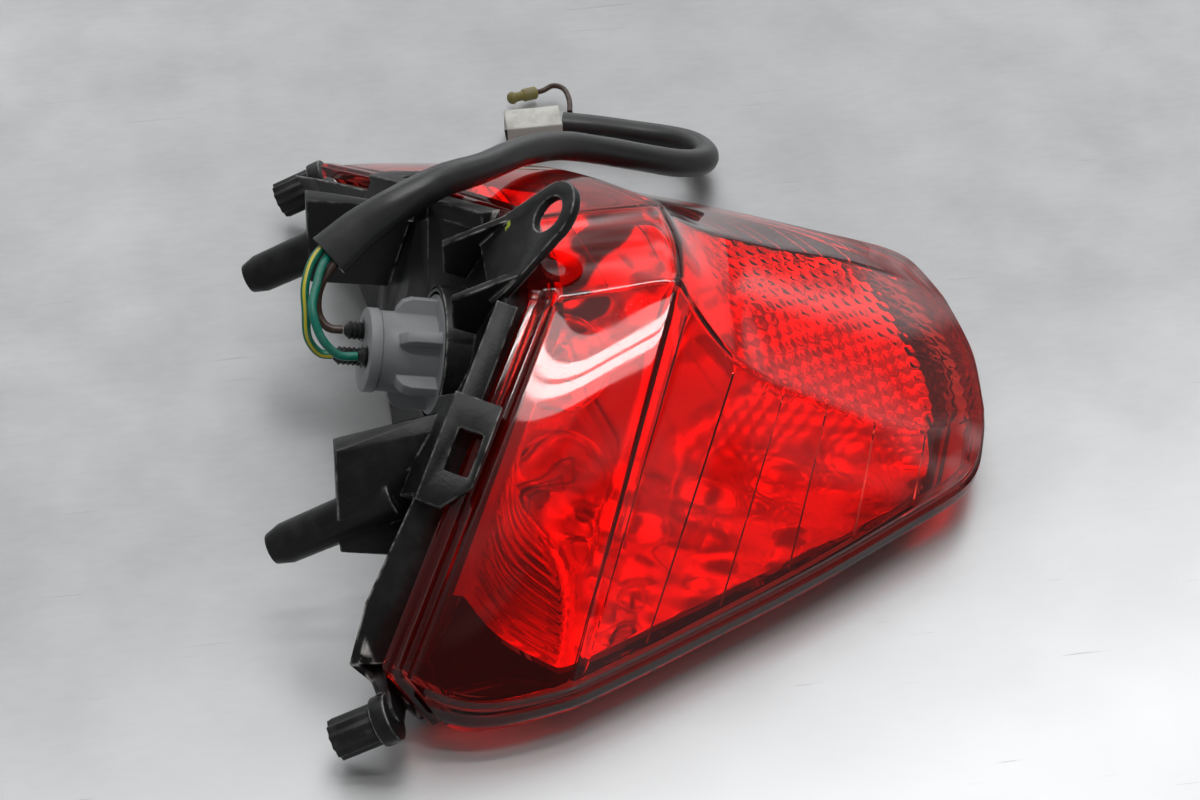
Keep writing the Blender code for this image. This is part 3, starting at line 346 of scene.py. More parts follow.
for lamp_name, place, size, turn, power in LAMPS:
    lamp_data = bpy.data.lights.new(lamp_name, "AREA")
    lamp_data.shape = "RECTANGLE"
    lamp_data.size, lamp_data.size_y = size
    lamp_data.energy = power
    lamp = bpy.data.objects.new(lamp_name, lamp_data)
    lamp.location = place
    lamp.rotation_euler.z = math.radians(turn)
    scene.collection.objects.link(lamp)
world = bpy.data.worlds.new("studio")
world.use_nodes = True
sky_tree = world.node_tree
sky = sky_tree.nodes["Background"]
sky.inputs["Color"].default_value = SKY_COLOUR
sky_way = add_node(sky_tree, "TexCoord").outputs["Generated"]
towards = add_node(sky_tree, "VectorMath", operation="DOT_PRODUCT")
sky_tree.links.new(sky_way, towards.inputs[0])
towards.inputs[1].default_value = BRIGHT_WALL_WAY
wall_light = mapped(sky_tree, towards.outputs["Value"], *WALL_EDGE, ROOM_LIGHT, WALL_LIGHT)
room = add_node(sky_tree, "TexNoise")
room.inputs["Scale"].default_value = PATCH_SCALE
room.inputs["Detail"].default_value = 1.0
sky_tree.links.new(sky_way, room.inputs["Vector"])
patches = mapped(sky_tree, room.outputs["Fac"], 0.38, 0.62, *PATCH_LIGHT)
feed(sky_tree, sky.inputs["Strength"], math_node(sky_tree, "MULTIPLY", wall_light, patches))
scene.world = world
print("lamps:", [lamp[0] for lamp in LAMPS])

# %% [markdown]
# ## Wires and sleeve
# Three wires leave the socket through rubber seals and go into one soft vinyl sleeve, which runs over the
# lens, folds back on the table and ends at a plug. A curve with a bevel would give round tubes, but the
# sleeve's mouth is pressed flat. So a ring of edges is extruded along the route, turning with it, and the
# rings near the mouth are then scaled. The same ring gives the wires, with a UV map for the stripe.

# %% Routes of the wires and the sleeve
WIRE_DIAMETER = 2.2
SLEEVE_DIAMETER = 7.8
SLEEVE_ROUTE = (
    (-68.0, 19.0, 53.5), (-59.6, 23.6, 57.2), (-49.5, 27.6, 60.6), (-38.6, 33.0, 62.0), (-27.4, 41.0, 58.2),
    (-15.2, 55.8, 50.0), (-3.4, 68.2, 40.4), (8.5, 76.0, 31.0), (20.5, 80.4, 23.4), (31.5, 84.2, 16.8),
    (39.2, 90.4, 11.2), (42.0, 98.0, 7.4), (39.6, 105.4, 5.2), (32.6, 110.4, 4.3), (22.0, 114.6, 4.2),
    (12.4, 118.2, 4.2), (4.3, 120.5, 4.3),
)
WIRE_ROUTES = {
    "ground": ((-63.8, -4.6, 40.9), (-68.3, -4.8, 42.2), (-72.0, -2.5, 46.5), (-73.4, 3.0, 51.0),
               (-71.8, 9.5, 52.6), (-70.2, 14.6, 53.4)),
    "brake": ((-69.7, 0.0, 37.85), (-72.8, 0.4, 38.6), (-75.2, 2.2, 42.5), (-75.0, 6.6, 47.6),
              (-74.6, 11.0, 51.2), (-72.6, 16.2, 53.8)),
    "tail": ((-66.4, 4.9, 41.3), (-70.0, 5.6, 41.9), (-72.0, 8.4, 44.0), (-71.6, 11.8, 47.4),
             (-69.4, 15.0, 50.4)),
}
WIRES_ACROSS_MOUTH = {"brake": -2.5, "ground": 0.0, "tail": 2.5}
SLEEVE_SPACING = 2.4
CURVE_STEPS = 16


def smooth_route(points, spacing):
    """Return points at an even spacing along a smooth curve through the route points."""
    route = [Vector(point) for point in points]
    padded = [route[0] * 2 - route[1]] + route + [route[-1] * 2 - route[-2]]
    fine = []
    for before, start, end, after in zip(padded, padded[1:], padded[2:], padded[3:]):
        for step in range(CURVE_STEPS):
            t = step / CURVE_STEPS
            bend = (before * 2 - start * 5 + end * 4 - after) * t * t
            twist = (start * 3 - end * 3 + after - before) * t * t * t
            fine.append((start * 2 + (end - before) * t + bend + twist) * 0.5)
    fine.append(route[-1])
    total = sum((b - a).length for a, b in zip(fine, fine[1:]))
    count = max(2, round(total / spacing))
    even = [fine[0]]
    walked = 0.0
    for a, b in zip(fine, fine[1:]):
        walked += (b - a).length
        if walked >= total * len(even) / count and len(even) < count:
            even.append(b)
    even.append(fine[-1])
    return even


def route_length(points):
    """Add up the length of a route."""
    return sum((b - a).length for a, b in zip(points, points[1:]))


sleeve_path = smooth_route(SLEEVE_ROUTE, SLEEVE_SPACING)
print("sleeve:", round(route_length(sleeve_path), 1), "mm in", len(sleeve_path), "rings")

# %% A ring extruded along a route
def axis_frame(place, along, side):
    """Return a frame at a place, with its local Z along one direction and its local X near another."""
    z_axis = Vector(along).normalized()
    y_axis = z_axis.cross(Vector(side)).normalized()
    x_axis = y_axis.cross(z_axis)
    turned = Matrix((x_axis, y_axis, z_axis)).transposed().to_4x4()
    turned.translation = Vector(place)
    return turned


def extrude_chain(bm, chain, closed=False):
    """Extrude a chain of vertices by its edges and return the new vertices in the same order."""
    following = chain[1:] + chain[:1] if closed else chain[1:]
    edges = [bm.edges.get(pair) for pair in zip(chain, following)]
    grown = bmesh.ops.extrude_edge_only(bm, edges=edges)["geom"]
    fresh = {item for item in grown if isinstance(item, bmesh.types.BMVert)}
    partners = []
    for vert in chain:
        others = (edge.other_vert(vert) for edge in vert.link_edges)
        partners.append(next(other for other in others if other in fresh))
    return partners


def swept_tube(path, diameter, sides, side_way):
    """Extrude a ring along a path and return the bmesh, its rings and the frame of each ring."""
    neighbours = zip(path[:1] + path[:-1], path[1:] + path[-1:])
    ways = [(after - before).normalized() for before, after in neighbours]
    place = axis_frame(path[0], ways[0], side_way)
    bm = bmesh.new()
    circle = bmesh.ops.create_circle(bm, cap_ends=False, segments=sides, radius=diameter * 0.5, matrix=place)
    ring = circle["verts"]
    rings, frames = [ring], [place]
    for number in range(1, len(path)):
        bend = ways[number - 1].rotation_difference(ways[number]).to_matrix()
        ring = extrude_chain(bm, ring, closed=True)
        bmesh.ops.rotate(bm, cent=path[number - 1], matrix=bend, verts=ring)
        bmesh.ops.translate(bm, vec=path[number] - path[number - 1], verts=ring)
        place = Matrix.Translation(path[number]) @ bend.to_4x4() @ frames[-1].to_3x3().to_4x4()
        rings.append(ring)
        frames.append(place)
    return bm, rings, frames


def map_tube(bm, rings, spacing):
    """Give a tube a UV map: U once round it, V along it in millimetres."""
    layer = bm.loops.layers.uv.new("round_and_along")
    sides = len(rings[0])
    spot = {vert: (side, number) for number, ring in enumerate(rings) for side, vert in enumerate(ring)}
    for face in bm.faces:
        if all(vert in spot for vert in face.verts):
            wraps = {spot[vert][0] for vert in face.verts} == {0, sides - 1}
            for loop in face.loops:
                side, number = spot[loop.vert]
                turn = sides if wraps and side == 0 else side
                loop[layer].uv = (turn / sides, number * spacing)


def close_ends(bm, *rings):
    """Fill open rings and point every face outwards."""
    for ring in rings:
        bmesh.ops.contextual_create(bm, geom=ring)
    bmesh.ops.recalc_face_normals(bm, faces=bm.faces)


# %% From a bmesh to a piece
def make_piece(name, bm, finish, slot, *nodes, body=None, sharp=35.0, in_metres=False):
    """Turn a bmesh into a piece that rides on a CAD body and stands for CAD nodes."""
    if not in_metres:
        bmesh.ops.scale(bm, vec=(MM, MM, MM), verts=bm.verts)
    mesh = bpy.data.meshes.new(name)
    bm.to_mesh(mesh)
    bm.free()
    mesh.materials.append(finish)
    mesh.shade_smooth()
    mesh.set_sharp_from_angle(angle=math.radians(sharp))
    piece = bpy.data.objects.new(name, mesh)
    scene.collection.objects.link(piece)
    if body:
        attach(piece, body)
    if nodes:
        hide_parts(*nodes)
    print(name, "faces:", len(mesh.polygons))
    return piece


# %% [markdown]
# ### The sleeve
# The sleeve is thin dark vinyl. Near its mouth it is pressed flat by the wires that lie side by side in
# it. The first rings are scaled wide and low, and then turned back inside as an inner wall, so that the
# mouth is a real opening with the wires going in.

# %% Sleeve
FLAT_LENGTH = 60.0
MOUTH_WIDER = 0.50
MOUTH_LOWER = 0.45
INNER_SHARE = 0.84
INNER_RINGS = 6
FOLD_RANGE = (150.0, 205.0)
FOLD_PINCH = 0.10
SLEEVE_SIDES = 24

sleeve_finish = dull_finish("sleeve_vinyl", colour=(0.020, 0.020, 0.0205), drift=(0.026, 0.026, 0.026),
                            worn=(0.08, 0.08, 0.07), roughness=0.34, grain=600.0, relief=0.00003, wear=0.0,
                            dust=0.05, shine=0.6)
bm, rings, frames = swept_tube(sleeve_path, SLEEVE_DIAMETER, SLEEVE_SIDES, view_back)
ring_step = route_length(sleeve_path) / (len(sleeve_path) - 1)
for number, (ring, place) in enumerate(zip(rings, frames)):
    walked = number * ring_step
    flat = max(0.0, 1.0 - walked / FLAT_LENGTH) ** 2
    fold = max(0.0, math.sin(math.pi * (walked - FOLD_RANGE[0]) / (FOLD_RANGE[1] - FOLD_RANGE[0])))
    pinch = FOLD_PINCH * fold if FOLD_RANGE[0] < walked < FOLD_RANGE[1] else 0.0
    wobble = 0.012 * math.sin(walked * 0.35) + 0.006 * math.sin(walked * 1.1)
    low = 1.0 - MOUTH_LOWER * flat - pinch * 0.6
    wide = 1.0 + MOUTH_WIDER * flat + pinch * 0.5 + wobble * (1.0 - flat)
    bmesh.ops.scale(bm, vec=(low, wide, 1.0), space=place.inverted(), verts=ring)
inner = rings[0]
for number in range(INNER_RINGS):
    inner = extrude_chain(bm, inner, closed=True)
    for vert, outer in zip(inner, rings[number]):
        vert.co = sleeve_path[number].lerp(outer.co, INNER_SHARE)
map_tube(bm, rings, ring_step)
close_ends(bm, inner, rings[-1])
sleeve = make_piece("sleeve_vinyl", bm, sleeve_finish, "sleeve_black", "wire_sleeve", body="housing",
                    sharp=50.0)

# %% Wires
WIRE_SPACING = 0.9
WIRE_SIDES = 12
WIRE_SIDE_WAY = (0.0, 0.3, 1.0)
STRIPE_HALF_WIDTH = 0.045
STRIPE_BLUR = 0.02


def wire_finish(name, colour, drift, stripe=None):
    """Make a glossy insulation, with a stripe along it if it has one."""
    material, tree, shader = start_material(name)
    grained = place_group(tree, grain_group, Scale=700.0)
    dusty = place_group(tree, dust_group, Scale=400.0)
    body = mixed(tree, grained["Blotch"], colour, drift)
    if stripe:
        turn = add_node(tree, "UVMap", uv_map="round_and_along")
        parts = add_node(tree, "SeparateXYZ")
        tree.links.new(turn.outputs[0], parts.inputs[0])
        away = math_node(tree, "ABSOLUTE", math_node(tree, "SUBTRACT", parts.outputs["X"], 0.5))
        band = mapped(tree, away, STRIPE_HALF_WIDTH, STRIPE_HALF_WIDTH + STRIPE_BLUR, 1.0, 0.0)
        body = mixed(tree, band, body, stripe)
    dulled = math_node(tree, "MULTIPLY", dusty["Mask"], 0.25)
    tree.links.new(mixed(tree, dulled, body, DUST_COLOUR), shader.inputs["Base Color"])
    tree.links.new(mapped(tree, grained["Blotch"], 0.0, 1.0, 0.28, 0.42), shader.inputs["Roughness"])
    bump = add_node(tree, "Bump")
    bump.inputs["Distance"].default_value = 0.00003
    tree.links.new(grained["Height"], bump.inputs["Height"])
    tree.links.new(bump.outputs[0], shader.inputs["Normal"])
    return material


brown_wire = wire_finish("wire_brown", (0.052, 0.025, 0.014), (0.08, 0.038, 0.022))
wire_finishes = {
    "ground": (wire_finish("wire_green", (0.0, 0.17, 0.115), (0.005, 0.22, 0.15)), "wire_green"),
    "brake": (wire_finish("wire_green_yellow", (0.0, 0.16, 0.09), (0.005, 0.21, 0.12), (0.66, 0.55, 0.03)),
              "wire_green_yellow"),
    "tail": (brown_wire, "wire_brown"),
}
for wire_name, route in WIRE_ROUTES.items():
    across = frames[0].col[1].xyz * WIRES_ACROSS_MOUTH[wire_name]
    inside = [sleeve_path[number] + across * (1.0 - 0.06 * number) for number in (0, 2, 4)]
    path = smooth_route(list(route) + inside, WIRE_SPACING)
    bm, wire_rings = swept_tube(path, WIRE_DIAMETER, WIRE_SIDES, WIRE_SIDE_WAY)[:2]
    map_tube(bm, wire_rings, WIRE_SPACING)
    close_ends(bm, wire_rings[0], wire_rings[-1])
    finish, slot = wire_finishes[wire_name]
    wire = make_piece("wire_insulation_" + wire_name, bm, finish, slot, "wire_" + wire_name, sharp=60.0)
    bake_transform(wire)
    print(wire_name, "wire is", round(route_length(path), 1), "mm long")

# %% [markdown]
# ## Plug, earth lead and bullet end
# A small milky nylon plug ends the sleeve, with two brass terminals in it, and a thin earth lead beside
# it carries an insulated bullet end. The plug is a plain moulding, so its CAD faces are copied, welded
# and bevelled. The bullet is turned, so its profile is spun round its axis.

# %% Rounded copies of CAD nodes
def softened(node, width, segments=2, angle=28.0, weld=0.0001):
    """Copy a CAD node's triangles, weld them into flat faces and bevel the sharp edges between them."""
    bm = bmesh.new()
    bm.from_mesh(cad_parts[node].data)
    bmesh.ops.remove_doubles(bm, verts=bm.verts, dist=weld)
    bmesh.ops.dissolve_degenerate(bm, dist=weld, edges=bm.edges)
    bmesh.ops.dissolve_limit(bm, angle_limit=math.radians(3.0), verts=bm.verts, edges=bm.edges)
    limit = math.radians(angle)
    sharp = [edge for edge in bm.edges if edge.is_manifold and edge.calc_face_angle() > limit]
    surface = BVHTree.FromBMesh(bm)
    bmesh.ops.bevel(bm, geom=sharp, offset=width * MM, offset_type="OFFSET", segments=segments, profile=0.5,
                    affect="EDGES", material=-1, clamp_overlap=False, loop_slide=True)
    # At a few narrow corners the bevel throws a point off the part, so it is put back on the nearest face.
    for vert in bm.verts:
        nearest, *_, distance = surface.find_nearest(vert.co)
        if distance > width * MM:
            vert.co = nearest
    return bm


def spun(profile, place, steps=48, ring=False):
    """Spin a profile of (radius, height) round the local Z axis of a frame."""
    bm = bmesh.new()
    verts = [bm.verts.new((radius, 0.0, height)) for radius, height in profile]
    chain = verts + verts[:1] if ring else verts
    edges = [bm.edges.new(pair) for pair in zip(chain, chain[1:])]
    bmesh.ops.spin(bm, geom=verts + edges, axis=(0, 0, 1), cent=(0, 0, 0), angle=math.tau, steps=steps,
                   use_merge=True)
    bmesh.ops.remove_doubles(bm, verts=bm.verts, dist=0.001)
    bmesh.ops.recalc_face_normals(bm, faces=bm.faces)
    bm.transform(place)
    return bm


# %% Plug, lead and bullet
LEAD_DIAMETER = 1.6
LEAD_SPACING = 0.8
LEAD_ROUTE = ((7.2, 125.8, 4.6), (7.8, 131.5, 4.6), (7.0, 137.0, 4.4), (4.3, 140.2, 3.4), (1.2, 139.4, 2.6),
              (-0.6, 138.9, 2.6))
BULLET_PROFILE = ((0.0, 0.3), (1.5, 0.3), (1.9, 0.7), (1.9, 4.3), (1.7, 4.7), (1.4, 5.0), (1.4, 7.0),
                  (1.6, 7.3), (1.9, 7.8), (1.85, 8.3), (1.4, 9.1), (0.9, 9.4), (0.0, 9.4))

nylon_finish = dull_finish("plug_nylon", colour=(0.66, 0.65, 0.58), drift=(0.74, 0.73, 0.68),
                           worn=(0.45, 0.36, 0.22), roughness=0.38, grain=600.0, wear=0.5, dust=0.5)
plug_skin = make_piece("plug_shell", softened("plug_body", 0.45, segments=3), nylon_finish, "plug_white",
                       "plug_body", body="housing", in_metres=True)
lead_path = smooth_route(LEAD_ROUTE, LEAD_SPACING)
bm, lead_rings = swept_tube(lead_path, LEAD_DIAMETER, WIRE_SIDES, WIRE_SIDE_WAY)[:2]
map_tube(bm, lead_rings, LEAD_SPACING)
close_ends(bm, lead_rings[0], lead_rings[-1])
lead = make_piece("earth_lead_insulation", bm, brown_wire, "wire_brown", "earth_lead", body="housing",
                  sharp=60.0)
olive_finish = dull_finish("terminal_olive", colour=(0.20, 0.17, 0.045), drift=(0.28, 0.23, 0.07),
                           worn=(0.5, 0.42, 0.2), roughness=0.4, grain=700.0, wear=0.6)
bullet_frame = axis_frame(lead_path[-1], lead_path[-1] - lead_path[-2], (0, 0, 1))
bullet = make_piece("bullet_end", spun(BULLET_PROFILE, bullet_frame, steps=32), olive_finish,
                    "terminal_olive", "bullet_terminal", body="housing")

# %% [markdown]
# ## Lens
# The lens is one red moulding: a hood with a clear window on each side, and behind it a lower deck with
# pillow optics and side bands cut by prisms. A lens could be carved from blocks with booleans. It is
# grown here like sheet work instead: a chain of edges from the crown to the lip is extruded from station
# to station, then mirrored and subdivided. Its wall is added after that, and the optics are pressed into
# the inner skin only, which is where a real lens has them.

# %% Lens: stations of its outer skin, in millimetres
EDGE_Z = 15.0
LIP_Z = 5.5
LIP_INSET = 1.0
RIM_LIPS = ((-57.5, 92.0, 7.5), (-53.5, 94.2, 6.0))
LENS_STATIONS = (
    ((-22.0, 66.0), (-22.2, 14.2, 63.6), (-66.6, 89.0, 23.8)),
    ((-17.0, 66.0), (-17.5, 15.5, 63.0), (-62.0, 91.2, 22.0)),
    ((0.0, 67.0), (0.0, 15.0, 64.2), (-46.5, 98.6, EDGE_Z)),
    ((15.5, 66.6), (14.5, 14.0, 64.6), (-23.5, 94.3, EDGE_Z)),
    ((20.0, 58.5), (17.0, 16.5, 58.5), (-20.5, 93.05, EDGE_Z)),
    ((27.5, 46.5), (27.5, 26.2, 43.2), (-6.0, 87.0, EDGE_Z)),
    ((40.0, 40.5), (40.0, 27.2, 37.2), (14.8, 77.4, EDGE_Z)),
    ((50.5, 35.0), (49.9, 28.2, 32.0), (31.9, 69.8, EDGE_Z)),
    ((62.5, 29.0), (62.0, 31.0, 25.9), (51.0, 60.2, EDGE_Z)),
    ((76.0, 22.0), (75.0, 31.5, 19.8), (67.0, 51.1, EDGE_Z)),
    ((95.0, 15.0), (92.3, 21.2, 15.2), (84.8, 42.1, EDGE_Z)),
)
PANEL_CROWN = 0.05
PANEL_WAY = (0.0, 0.48, 0.88)
RIM_CROWN = 0.015
RIM_ROWS = 2
HOOD_ROWS = 5
HOOD_CROWN = 0.7
DECK_CROWN = 0.5
RIDGE_COLUMN = 2
EDGE_COLUMN = 4
LENS_MIDDLE_X = 10.0


def inward(point):
    """Move a point of the lens edge level towards the middle of the lens, and down to the lip."""
    step = Vector((point.x - LENS_MIDDLE_X, point.y, 0.0)).normalized() * LIP_INSET
    return Vector((point.x - step.x, point.y - step.y, LIP_Z))


def lens_row(number):
    """Work out one station: crown, half way, ridge, panel, edge and lip."""
    centre, ridge, edge = LENS_STATIONS[number]
    crown, ridge, edge = Vector((centre[0], 0.0, centre[1])), Vector(ridge), Vector(edge)
    bulge = (RIM_CROWN if number < RIM_ROWS else PANEL_CROWN) * (edge - ridge).length
    panel = (ridge + edge) * 0.5 + Vector(PANEL_WAY) * bulge
    lip = Vector(RIM_LIPS[number]) if number < RIM_ROWS else inward(edge)
    half = (crown + ridge) * 0.5 + Vector((0.0, 0.0, HOOD_CROWN if number < HOOD_ROWS else DECK_CROWN))
    return [crown, half, ridge, panel, edge, lip]


print("lens stations:", len(LENS_STATIONS), "with", len(lens_row(0)), "points each")

# %% Lens: grow the skin from station to station
def crease_chain(bm, layer, chain, amount):
    """Crease the edges along a chain of vertices."""
    for pair in zip(chain, chain[1:]):
        bm.edges.get(pair)[layer] = amount


def grow_skin(rows):
    """Extrude a chain of edges through rows of points and return the bmesh and its grid of vertices."""
    bm = bmesh.new()
    chain = [bm.verts.new(point) for point in rows[0]]
    for pair in zip(chain, chain[1:]):
        bm.edges.new(pair)
    grid = [chain]
    for row in rows[1:]:
        chain = extrude_chain(bm, chain)
        for vert, point in zip(chain, row):
            vert.co = point
        grid.append(chain)
    return bm, grid


def number_grid(bm, grid):
    """Write each vertex's row and column into a UV map, so that subdivision carries them along."""
    layer = bm.loops.layers.uv.new("row_and_column")
    spot = {vert: (row, column) for row, chain in enumerate(grid) for column, vert in enumerate(chain)}
    for face in bm.faces:
        for loop in face.loops:
            loop[layer].uv = spot[loop.vert]


def mirror_skin(bm):
    """Add the far half of a skin and point its faces the same way."""
    half = bm.verts[:] + bm.edges[:] + bm.faces[:]
    bmesh.ops.mirror(bm, geom=half, matrix=Matrix.Identity(4), merge_dist=0.001, axis="Y")
    bmesh.ops.recalc_face_normals(bm, faces=bm.faces)


bm, grid = grow_skin([lens_row(number) for number in range(len(LENS_STATIONS))])
nose = grid[-1][:5]
foot = extrude_chain(bm, nose)
for vert in foot:
    vert.co = inward(vert.co)
foot[0].co.y = 0.0
number_grid(bm, grid + [foot])
bmesh.ops.remove_doubles(bm, verts=bm.verts, dist=0.001)
creases = bm.edges.layers.float.new("crease_edge")
crease_chain(bm, creases, [row[RIDGE_COLUMN] for row in grid], 0.6)
crease_chain(bm, creases, [row[EDGE_COLUMN] for row in grid], 1.0)
crease_chain(bm, creases, nose, 1.0)
crease_chain(bm, creases, grid[3][:RIDGE_COLUMN + 1], 0.3)
for row in grid[3:5]:
    crease_chain(bm, creases, row[RIDGE_COLUMN:EDGE_COLUMN + 1], 0.8)
mirror_skin(bm)
print("lens cage:", len(bm.faces), "faces")

# %% Lens: subdivide and add the wall
LENS_WALL = 2.4
LENS_LEVELS = 4
SEAM_START = 2.8
SEAM_STATION = 3.0
SEAM_DEPTH = 0.7
PRISM_STATION = 3.0
PRISM_DEPTH = 0.9
RISER_SHARE = 0.7
PILLOW_PITCH = (3.4, 4.6)
PILLOW_DEPTH = 0.32
PILLOW_START = (24.0, 34.0)
RIM_BAR = (0.04, 0.60)
RIM_BAR_HEIGHT = 1.0
RIM_GROOVE = (0.62, 0.96)
GROOVE_DEPTH = 1.2
LIP_BEAD = (0.30, 0.80)
LIP_BEAD_HEIGHT = 1.1
BEAD_SHARPNESS = 14.0
BAR_SHARPNESS = 6.0
GROOVE_SHARPNESS = 8.0


def finished_shell(bm, levels, wall):
    """Subdivide a cage in millimetres and give it a wall; the inner skin's vertices are in group 0."""
    mesh = bpy.data.meshes.new("cage")
    bm.to_mesh(mesh)
    bm.free()
    cage = bpy.data.objects.new("cage", mesh)
    cage.vertex_groups.new(name="inner_skin")
    scene.collection.objects.link(cage)
    smooth = cage.modifiers.new("smooth", "SUBSURF")
    smooth.levels = smooth.render_levels = levels
    smooth.boundary_smooth = "PRESERVE_CORNERS"
    smooth.uv_smooth = "NONE"
    thick = cage.modifiers.new("wall", "SOLIDIFY")
    thick.thickness = wall
    thick.offset = -1.0
    thick.use_even_offset = True
    thick.shell_vertex_group = "inner_skin"
    depsgraph = bpy.context.evaluated_depsgraph_get()
    made = bmesh.new()
    made.from_mesh(bpy.data.meshes.new_from_object(cage.evaluated_get(depsgraph)))
    bpy.data.objects.remove(cage)
    return made


def inner_spots(bm):
    """List the inner skin's vertices with their row and column."""
    group = bm.verts.layers.deform.active
    layer = bm.loops.layers.uv.active
    return [(vert, vert.link_loops[0][layer].uv.copy()) for vert in bm.verts if 0 in vert[group]]


# %% Lens: where the optics are pressed in and the relief stands out
def optics(row, column, place):
    """How far the inner skin is pressed in at one point, in millimetres."""
    if row < PRISM_STATION:
        at_seam = row > SEAM_START and row < SEAM_STATION - 0.001
        beside = column > RIDGE_COLUMN and column < EDGE_COLUMN
        return SEAM_DEPTH * (row - SEAM_START) / (SEAM_STATION - SEAM_START) if at_seam and beside else 0.0
    if column > RIDGE_COLUMN + 0.03:
        rise = (row + 0.001) % 1.0
        return PRISM_DEPTH * rise if column < EDGE_COLUMN - 0.03 else 0.0
    line = math.floor(place.x / PILLOW_PITCH[0])
    along = place.x / PILLOW_PITCH[0] - line - 0.5
    across = (place.y / PILLOW_PITCH[1] + 0.5 * (line % 2)) % 1.0 - 0.5
    begun = min(1.0, max(0.0, (place.x - PILLOW_START[0]) / (PILLOW_START[1] - PILLOW_START[0])))
    return PILLOW_DEPTH * begun * math.cos(math.pi * along) * math.cos(math.pi * across)


def raised(share, band, height, sharpness):
    """Height of a rounded rib at a share of the way across, between the two sides of its band."""
    inside = min(share - band[0], band[1] - share) * sharpness
    return height * math.sin(0.5 * math.pi * min(1.0, inside)) if inside > 0.0 else 0.0


def outer_relief(row, column):
    """How far the outer skin stands out at one point: the rim's bar and groove, and the lip's bead."""
    past_edge = max(column - EDGE_COLUMN, row - len(LENS_STATIONS) + 1)
    if row > 1.0:
        return raised(past_edge, LIP_BEAD, LIP_BEAD_HEIGHT, BEAD_SHARPNESS)
    started = min(1.0, max(0.0, (column - RIDGE_COLUMN + 0.3) * 5.0))
    bar = raised(row, RIM_BAR, RIM_BAR_HEIGHT, BAR_SHARPNESS)
    return started * (bar - raised(row, RIM_GROOVE, GROOVE_DEPTH, GROOVE_SHARPNESS))


# %% Lens: move both skins
bm = finished_shell(bm, LENS_LEVELS, LENS_WALL)
bm.normal_update()
inner = inner_spots(bm)
inner_set = {vert for vert, spot in inner}
grid_layer = bm.loops.layers.uv.active
pressed = [(vert, optics(spot.x, spot.y, vert.co)) for vert, spot in inner]
moves = [(vert, vert.normal * depth) for vert, depth in pressed]
per_row = 2 ** LENS_LEVELS
spot_verts = {
    (round(spot.x * per_row), round(spot.y * per_row), vert.co.y > 0.0): vert for vert, spot in inner
}
for (row, column, side), vert in spot_verts.items():
    at_riser = row % per_row == per_row - 1 and row > SEAM_START * per_row
    after = spot_verts.get((row + 1, column, side))
    if at_riser and after and RIDGE_COLUMN * per_row < column < EDGE_COLUMN * per_row:
        moves.append((vert, (after.co - vert.co) * RISER_SHARE))
for vert in bm.verts:
    row, column = vert.link_loops[0][grid_layer].uv
    if vert not in inner_set:
        moves.append((vert, vert.normal * outer_relief(row, column)))
for vert, move in moves:
    vert.co += move
optic_points = sum(1 for vert, depth in pressed if depth > 0.0)
print("lens skin:", len(bm.faces), "faces, optics on", optic_points, "points")

# %% Lens: finish
LENS_RED = (0.94, 0.046, 0.031)
# The lip along the sides and at the nose is painted a dark red: painted shade where the black housing and
# its shadow lie behind it.
LIP_SHADE_RED = (0.22, 0.010, 0.008)

lens_finish, lens_tree, lens_shader = start_material("lens_red")
lens_spot = add_node(lens_tree, "SeparateXYZ")
lens_tree.links.new(add_node(lens_tree, "UVMap", uv_map="row_and_column").outputs[0], lens_spot.inputs[0])
# Mask of the painted shade on the lip, along the sides and at the nose.
side_lip_shade = mapped(lens_tree, lens_spot.outputs["Y"], EDGE_COLUMN + 0.1, EDGE_COLUMN + 0.5, 0.0, 1.0)
nose_row = len(LENS_STATIONS) - 1
nose_lip_shade = mapped(lens_tree, lens_spot.outputs["X"], nose_row + 0.1, nose_row + 0.5, 0.0, 1.0)
lip_shade_mask = math_node(lens_tree, "MAXIMUM", side_lip_shade, nose_lip_shade)
lens_tree.links.new(mixed(lens_tree, lip_shade_mask, LENS_RED, LIP_SHADE_RED), lens_shader.inputs["Base Color"])
lens_shader.inputs["Transmission Weight"].default_value = 0.975
lens_shader.inputs["IOR"].default_value = 1.49
smears = mapped(lens_tree, noise(lens_tree, 60.0, detail=5.0), 0.45, 0.75, 0.015, 0.07)
lens_dust = place_group(lens_tree, dust_group, Scale=260.0)
hazed = math_node(lens_tree, "MULTIPLY", lens_dust["Specks"], 0.12)
lens_tree.links.new(math_node(lens_tree, "ADD", smears, hazed), lens_shader.inputs["Roughness"])
make_piece("lens_moulding", bm, lens_finish, "lens_red", "lens", body="housing", sharp=30.0)

# %% [markdown]
# ## Reflector
# Behind the lens lies a metallised tray. Its floor is flat, and its front wall leans back at both ends
# into fluted wings, which show through the clear windows as a fan of bars. It is grown from lines the way
# the lens is, and the flutes are pressed in after subdivision.

